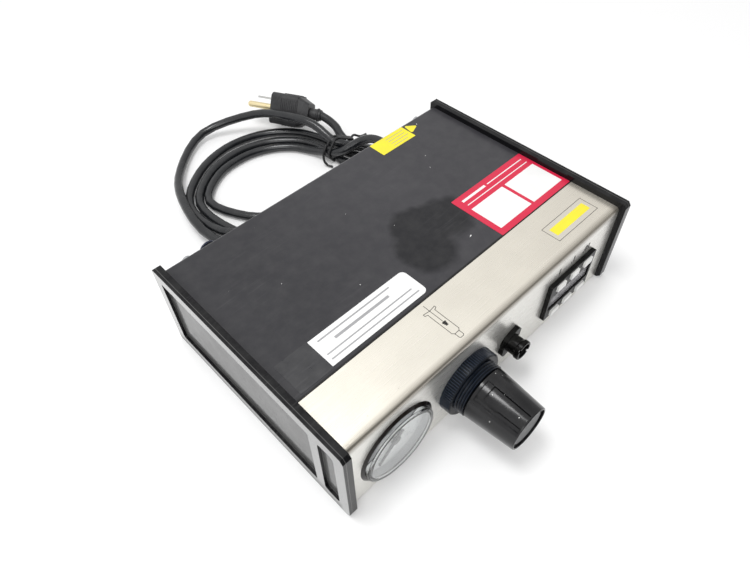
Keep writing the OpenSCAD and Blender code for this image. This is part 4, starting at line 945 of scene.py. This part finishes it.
def rulesOn(name, rules, look):
    # thin ruled lines across a card
    lines = [onTop(name, (x0, x1), (y - width / 2, y + width / 2), lift=cardSizes["thick"])
             for x0, x1, y, width in rules]
    settle(joinPieces(lines, name), look)


def makeTab(name, sizes):
    # a small flat tab drawn round its corners
    corners = [Vector(corner) for corner in sizes["yellowTab"]]
    middle = sum(corners, Vector((0, 0))) / len(corners)
    points = []
    for corner in corners:
        out = corner - middle
        for k in range(-3, 4):
            turn = atan2(out.y, out.x) + radians(20) * k
            points.append(corner + sizes["tabRound"] * Vector((cos(turn), sin(turn))))
    tab = bpy.data.meshes.new(name)
    tab.from_pydata([at(p.x, p.y, topZ) for p in points], [], [range(len(points))])
    piece = bpy.data.objects.new(name, tab)
    scene.collection.objects.link(piece)
    pickParts(piece, "FACE", lambda c, n: True)
    drawUp(sizes["thick"])
    closeSkin()
    settle(piece, "paperYellow")


def makeCards(sizes):
    cardOn("whiteCard", sizes["whiteCard"], "paperWhite", rightOnly=True)
    rulesOn("whiteCardRules", sizes["ruled"], "greyInk")
    cardOn("blackCard", sizes["blackCard"], "paperBlack")
    cardOn("redCard", sizes["redCard"], "paperRed")
    panelLift = sizes["thick"] - sizes["panelSunk"]
    for i, panel in enumerate(sizes["redPanels"]):
        cardOn("redCardPanel%d" % (i + 1), panel, "paperWhite", panelLift)
    rulesOn("redCardRules", sizes["redRules"], "paperWhite")
    cardOn("yellowCard", sizes["yellowCard"], "paperYellow")
    rulesOn("yellowCardRules", sizes["yellowRules"], "greyInk")
    makeTab("yellowTab", sizes)
    # a fine frame with a plain bar in it
    (x0, x1), (y0, y1) = sizes["frame"]
    line = sizes["frameLine"]
    sides = [onTop("side", xSpan, ySpan) for xSpan, ySpan in (
        ((x0, x1), (y0, y0 + line)), ((x0, x1), (y1 - line, y1)),
        ((x0, x0 + line), (y0, y1)), ((x1 - line, x1), (y0, y1)))]
    settle(joinPieces(sides, "barFrame"), "printInk")
    xSpan, ySpan, corner = sizes["bar"]
    bar = slab("plainBar", xSpan, ySpan, (topZ, topZ + sizes["barThick"]), corner)
    settle(bar, "paperYellow")
    print("cards laid on the top")


makeCards(cardSizes)

# the line drawing of a syringe on the steel strip, nose towards the front
syringeSizes = {
    "middle": -25.5, "line": 0.3, "rodTop": -30.4,
    # one side of the outline, by the distance from its middle: flange with barrel, then nose
    "body": [(0, -34.5), (4, -34.02), (4, -35.1), (2.5, -35.7), (2.5, -51.2), (1.5, -52.2)],
    "nose": [(1.5, -52.2), (1.5, -55), (0.9, -55.6)],
    "arrow": (-46.8, -43.8), "arrowSteps": (0.5, 1, 1.5), "arrowWide": 1.6, "arrowLine": 0.9,
}


def strokeOn(a, b, width):
    # one drawn line, a thin strip from a to b
    a, b = Vector(a), Vector(b)
    way = b - a
    half = width / 2
    strip = slab("stroke", (-half, way.length + half), (-half, half), (0, inkDeep))
    strip.rotation_euler = (0, 0, atan2(way.y, way.x))
    strip.location = at(a.x, a.y, topZ)
    fixPlace(strip)
    return strip


def makeSyringeMark(sizes):
    x, (low, high) = sizes["middle"], sizes["arrow"]
    lines = [((x, sizes["rodTop"]), (x, high))]
    for side in (-1, 1):
        for outline in (sizes["body"], sizes["nose"]):
            points = [(x + side * across, y) for across, y in outline]
            lines += zip(points, points[1:])
    # the two sides are joined at the shoulder and at the tip
    for across, y in (sizes["body"][-1], sizes["nose"][-1]):
        lines.append(((x - across, y), (x + across, y)))
    marks = [strokeOn(a, b, sizes["line"]) for a, b in lines]
    for width in sizes["arrowSteps"]:
        step = low + (high - low) * width / sizes["arrowWide"]
        marks.append(strokeOn((x - width / 2, step), (x + width / 2, step), sizes["arrowLine"]))
    settle(joinPieces(marks, "syringeMark"), "printInk")


makeSyringeMark(syringeSizes)

# chips in the paint of the cover: place, length, width and turn of each
chipSizes = {
    "marks": [(28.5, -15.2, 2.6, 0.8, 20), (56, 40, 1, 0.5, 70), (-38, 2, 0.7, 0.6, 0),
              (82.5, 76.4, 1.5, 0.7, 75), (-66, 31, 0.6, 0.4, 30),
              (-8, 46, 0.6, 0.4, 10), (5, 20, 0.5, 0.4, 50)],
    "corners": 9, "least": 0.72, "wave": 0.28, "waveTurn": 2.3, "lift": 0.02,
}


def makeChips(sizes):
    chips = []
    for x, y, length, width, turn in sizes["marks"]:
        bpy.ops.mesh.primitive_circle_add(vertices=sizes["corners"], radius=0.5, fill_type="NGON")
        chip = bpy.context.object
        for i, vert in enumerate(chip.data.vertices):
            vert.co *= sizes["least"] + sizes["wave"] * sin(i * sizes["waveTurn"] + x)
        chip.scale = (length * mm, width * mm, 1)
        chip.rotation_euler = (0, 0, radians(turn))
        chip.location = at(x, y, topZ + sizes["lift"])
        fixPlace(chip)
        chips.append(chip)
    settle(joinPieces(chips, "paintChips"), "paperWhite")


makeChips(chipSizes)

# marks on the dial, drawn as seen from the front
dialSizes = {
    "middle": (-74, 24.4), "face": frontY + 3.5, "outer": 19.3, "first": 225, "sweep": 270,
    "marks": 50, "major": (2.6, 0.32), "minor": (1.4, 0.18), "majorEach": 5,
    "numbers": range(0, 101, 20), "numberAt": 13.6, "numberHigh": 2.1,
    "innerAt": 10.6, "innerLine": 0.07, "innerGap": (-135, -45),
}


def makeDialPrint(sizes):
    (midX, midZ), face = sizes["middle"], sizes["face"]
    marks = []

    def markAngle(i, count):
        return sizes["first"] - sizes["sweep"] * i / count

    for i in range(sizes["marks"] + 1):
        length, wide = sizes["minor" if i % sizes["majorEach"] else "major"]
        outer = sizes["outer"]
        mark = slab("tick", (outer - length, outer), (-wide / 2, wide / 2), (0, inkDeep))
        mark.matrix_world = (Matrix.Translation(at(midX, face, midZ)) @ turned(90, "X")
                             @ turned(markAngle(i, sizes["marks"]), "Z"))
        fixPlace(mark)
        marks.append(mark)
    for i, number in enumerate(sizes["numbers"]):
        angle = radians(markAngle(i, len(sizes["numbers"]) - 1))
        place = (midX + sizes["numberAt"] * cos(angle), face,
                 midZ + sizes["numberAt"] * sin(angle))
        marks.append(writing(str(number), sizes["numberHigh"], place))
    # the finer inner scale is an open arc
    bpy.ops.mesh.primitive_torus_add(
        major_radius=sizes["innerAt"] * mm, minor_radius=sizes["innerLine"] * mm,
        major_segments=72, minor_segments=4, rotation=facingFront, location=at(midX, face, midZ))
    arc = bpy.context.object
    low, high = [radians(angle) for angle in sizes["innerGap"]]
    pickParts(arc, "FACE", lambda c, n: low < atan2(c.y, c.x) < high)
    bpy.ops.mesh.delete(type="FACE")
    endEdit()
    fixPlace(arc)
    marks.append(arc)
    settle(joinPieces(marks, "dialPrint"), "greyInk")
    print("dial printed")


makeDialPrint(dialSizes)

# figures on the digit wheels and above them
wheelSizes = {
    "middle": 63.3, "pitch": 12.7, "axisY": -49, "axisZ": 25.4, "face": 9.53, "high": 4.3,
    "shown": (0, 2, 5), "figures": 10, "scale": ("1", ".1", ".01"), "scaleHigh": 4,
    "scaleAt": (frontY - 0.02, 46.2), "scaleBold": 0.3,
}


def makeWheelFigures(sizes):
    for i in range(3):
        midX = sizes["middle"] + (i - 1) * sizes["pitch"]
        marks = []
        for figure in range(sizes["figures"]):
            mark = writing(str(figure), sizes["high"], (0, -sizes["face"], 0))
            turn = radians(360 / sizes["figures"] * (figure - sizes["shown"][i]))
            mark.rotation_euler = (-turn, 0, 0)
            mark.location = at(midX, sizes["axisY"], sizes["axisZ"])
            fixPlace(mark)
            marks.append(mark)
        name = "wheelFigures%d" % (i + 1)
        settle(joinPieces(marks, name), "printInk", "wheel_%d" % (i + 1))
        scaleMark = writing(sizes["scale"][i], sizes["scaleHigh"], (midX, *sizes["scaleAt"]),
                            "scaleMark%d" % (i + 1), sizes["scaleBold"])
        settle(scaleMark, "printInk")
    print("figures drawn")


makeWheelFigures(wheelSizes)

# floor and light, in metres
stageSizes = {
    "floorWide": 8, "floorLow": -0.0002, "floorTone": (0.95, 0.95, 0.95, 1), "floorRough": 0.6,
    "glow": 1.1, "glowRamp": (0.25, 1.4, 0.12, 1), "white": (1, 1, 1, 1),
    # brighter above on the left, dark in front where the camera stands: the way, then its ramp
    "skyAbove": ((-0.5, 0.3, 0.8), 0.15, 0.62, 0.64, 0.89),
    "skyAhead": ((0.2, -0.92, 0.25), 0.74, 0.92, 1, 0.08),
    # name, place, aim, width, strength in watts
    "lamps": [("softOverhead", (-0.17, 0.1, 0.9), (0, 0, 0.03), 0.3, 3.4),
              ("softFront", (-0.7, -0.6, 0.7), (0, 0, 0.03), 0.7, 3.2)],
}


def makeFloor(sizes):
    bpy.ops.mesh.primitive_plane_add(size=sizes["floorWide"], location=(0, 0, sizes["floorLow"]))
    floor = bpy.context.object
    floor.name = "floor"
    tree, inputs, place = newFinish("floorWhite")
    feed(inputs["Base Color"], sizes["floorTone"])
    feed(inputs["Roughness"], sizes["floorRough"])
    glow = add(tree, "Emission", {"Color": sizes["white"], "Strength": sizes["glow"]})
    path = add(tree, "LightPath").outputs
    seen = larger(tree, path["Is Camera Ray"], path["Is Glossy Ray"])
    far = add(tree, "VectorMath", {0: place}, operation="LENGTH").outputs["Value"]
    glowing = times(tree, seen, ramp(tree, far, *sizes["glowRamp"]))
    plain = tree.nodes["Principled BSDF"].outputs[0]
    blend = add(tree, "MixShader", {0: glowing, 1: plain, 2: glow.outputs[0]})
    feed(tree.nodes["Material Output"].inputs["Surface"], blend.outputs[0])
    floor.data.materials.append(finishes["floorWhite"])


def skyRamp(tree, toward, *span):
    wires = {0: add(tree, "TexCoord").outputs["Generated"], 1: Vector(toward).normalized()}
    dot = add(tree, "VectorMath", wires, operation="DOT_PRODUCT")
    return ramp(tree, dot.outputs["Value"], *span)


def makeLight(sizes):
    world = scene.world = bpy.data.worlds.new("studio")
    world.use_nodes = True
    tree = world.node_tree
    background = tree.nodes["Background"].inputs
    feed(background["Color"], sizes["white"])
    sky = times(tree, skyRamp(tree, *sizes["skyAbove"]), skyRamp(tree, *sizes["skyAhead"]))
    path = add(tree, "LightPath").outputs
    seen = larger(tree, path["Is Camera Ray"], path["Is Transmission Ray"])
    feed(background["Strength"], larger(tree, sky, seen))
    for name, place, aim, width, watts in sizes["lamps"]:
        light = bpy.data.lights.new(name, "AREA")
        light.shape = "SQUARE"
        light.size, light.energy = width, watts
        lamp = bpy.data.objects.new(name, light)
        scene.collection.objects.link(lamp)
        lamp.location = place
        lamp.rotation_euler = (Vector(aim) - Vector(place)).to_track_quat("-Z", "Y").to_euler()
    scene.view_settings.view_transform = "Standard"
    print("floor and light set")


makeFloor(stageSizes)
makeLight(stageSizes)
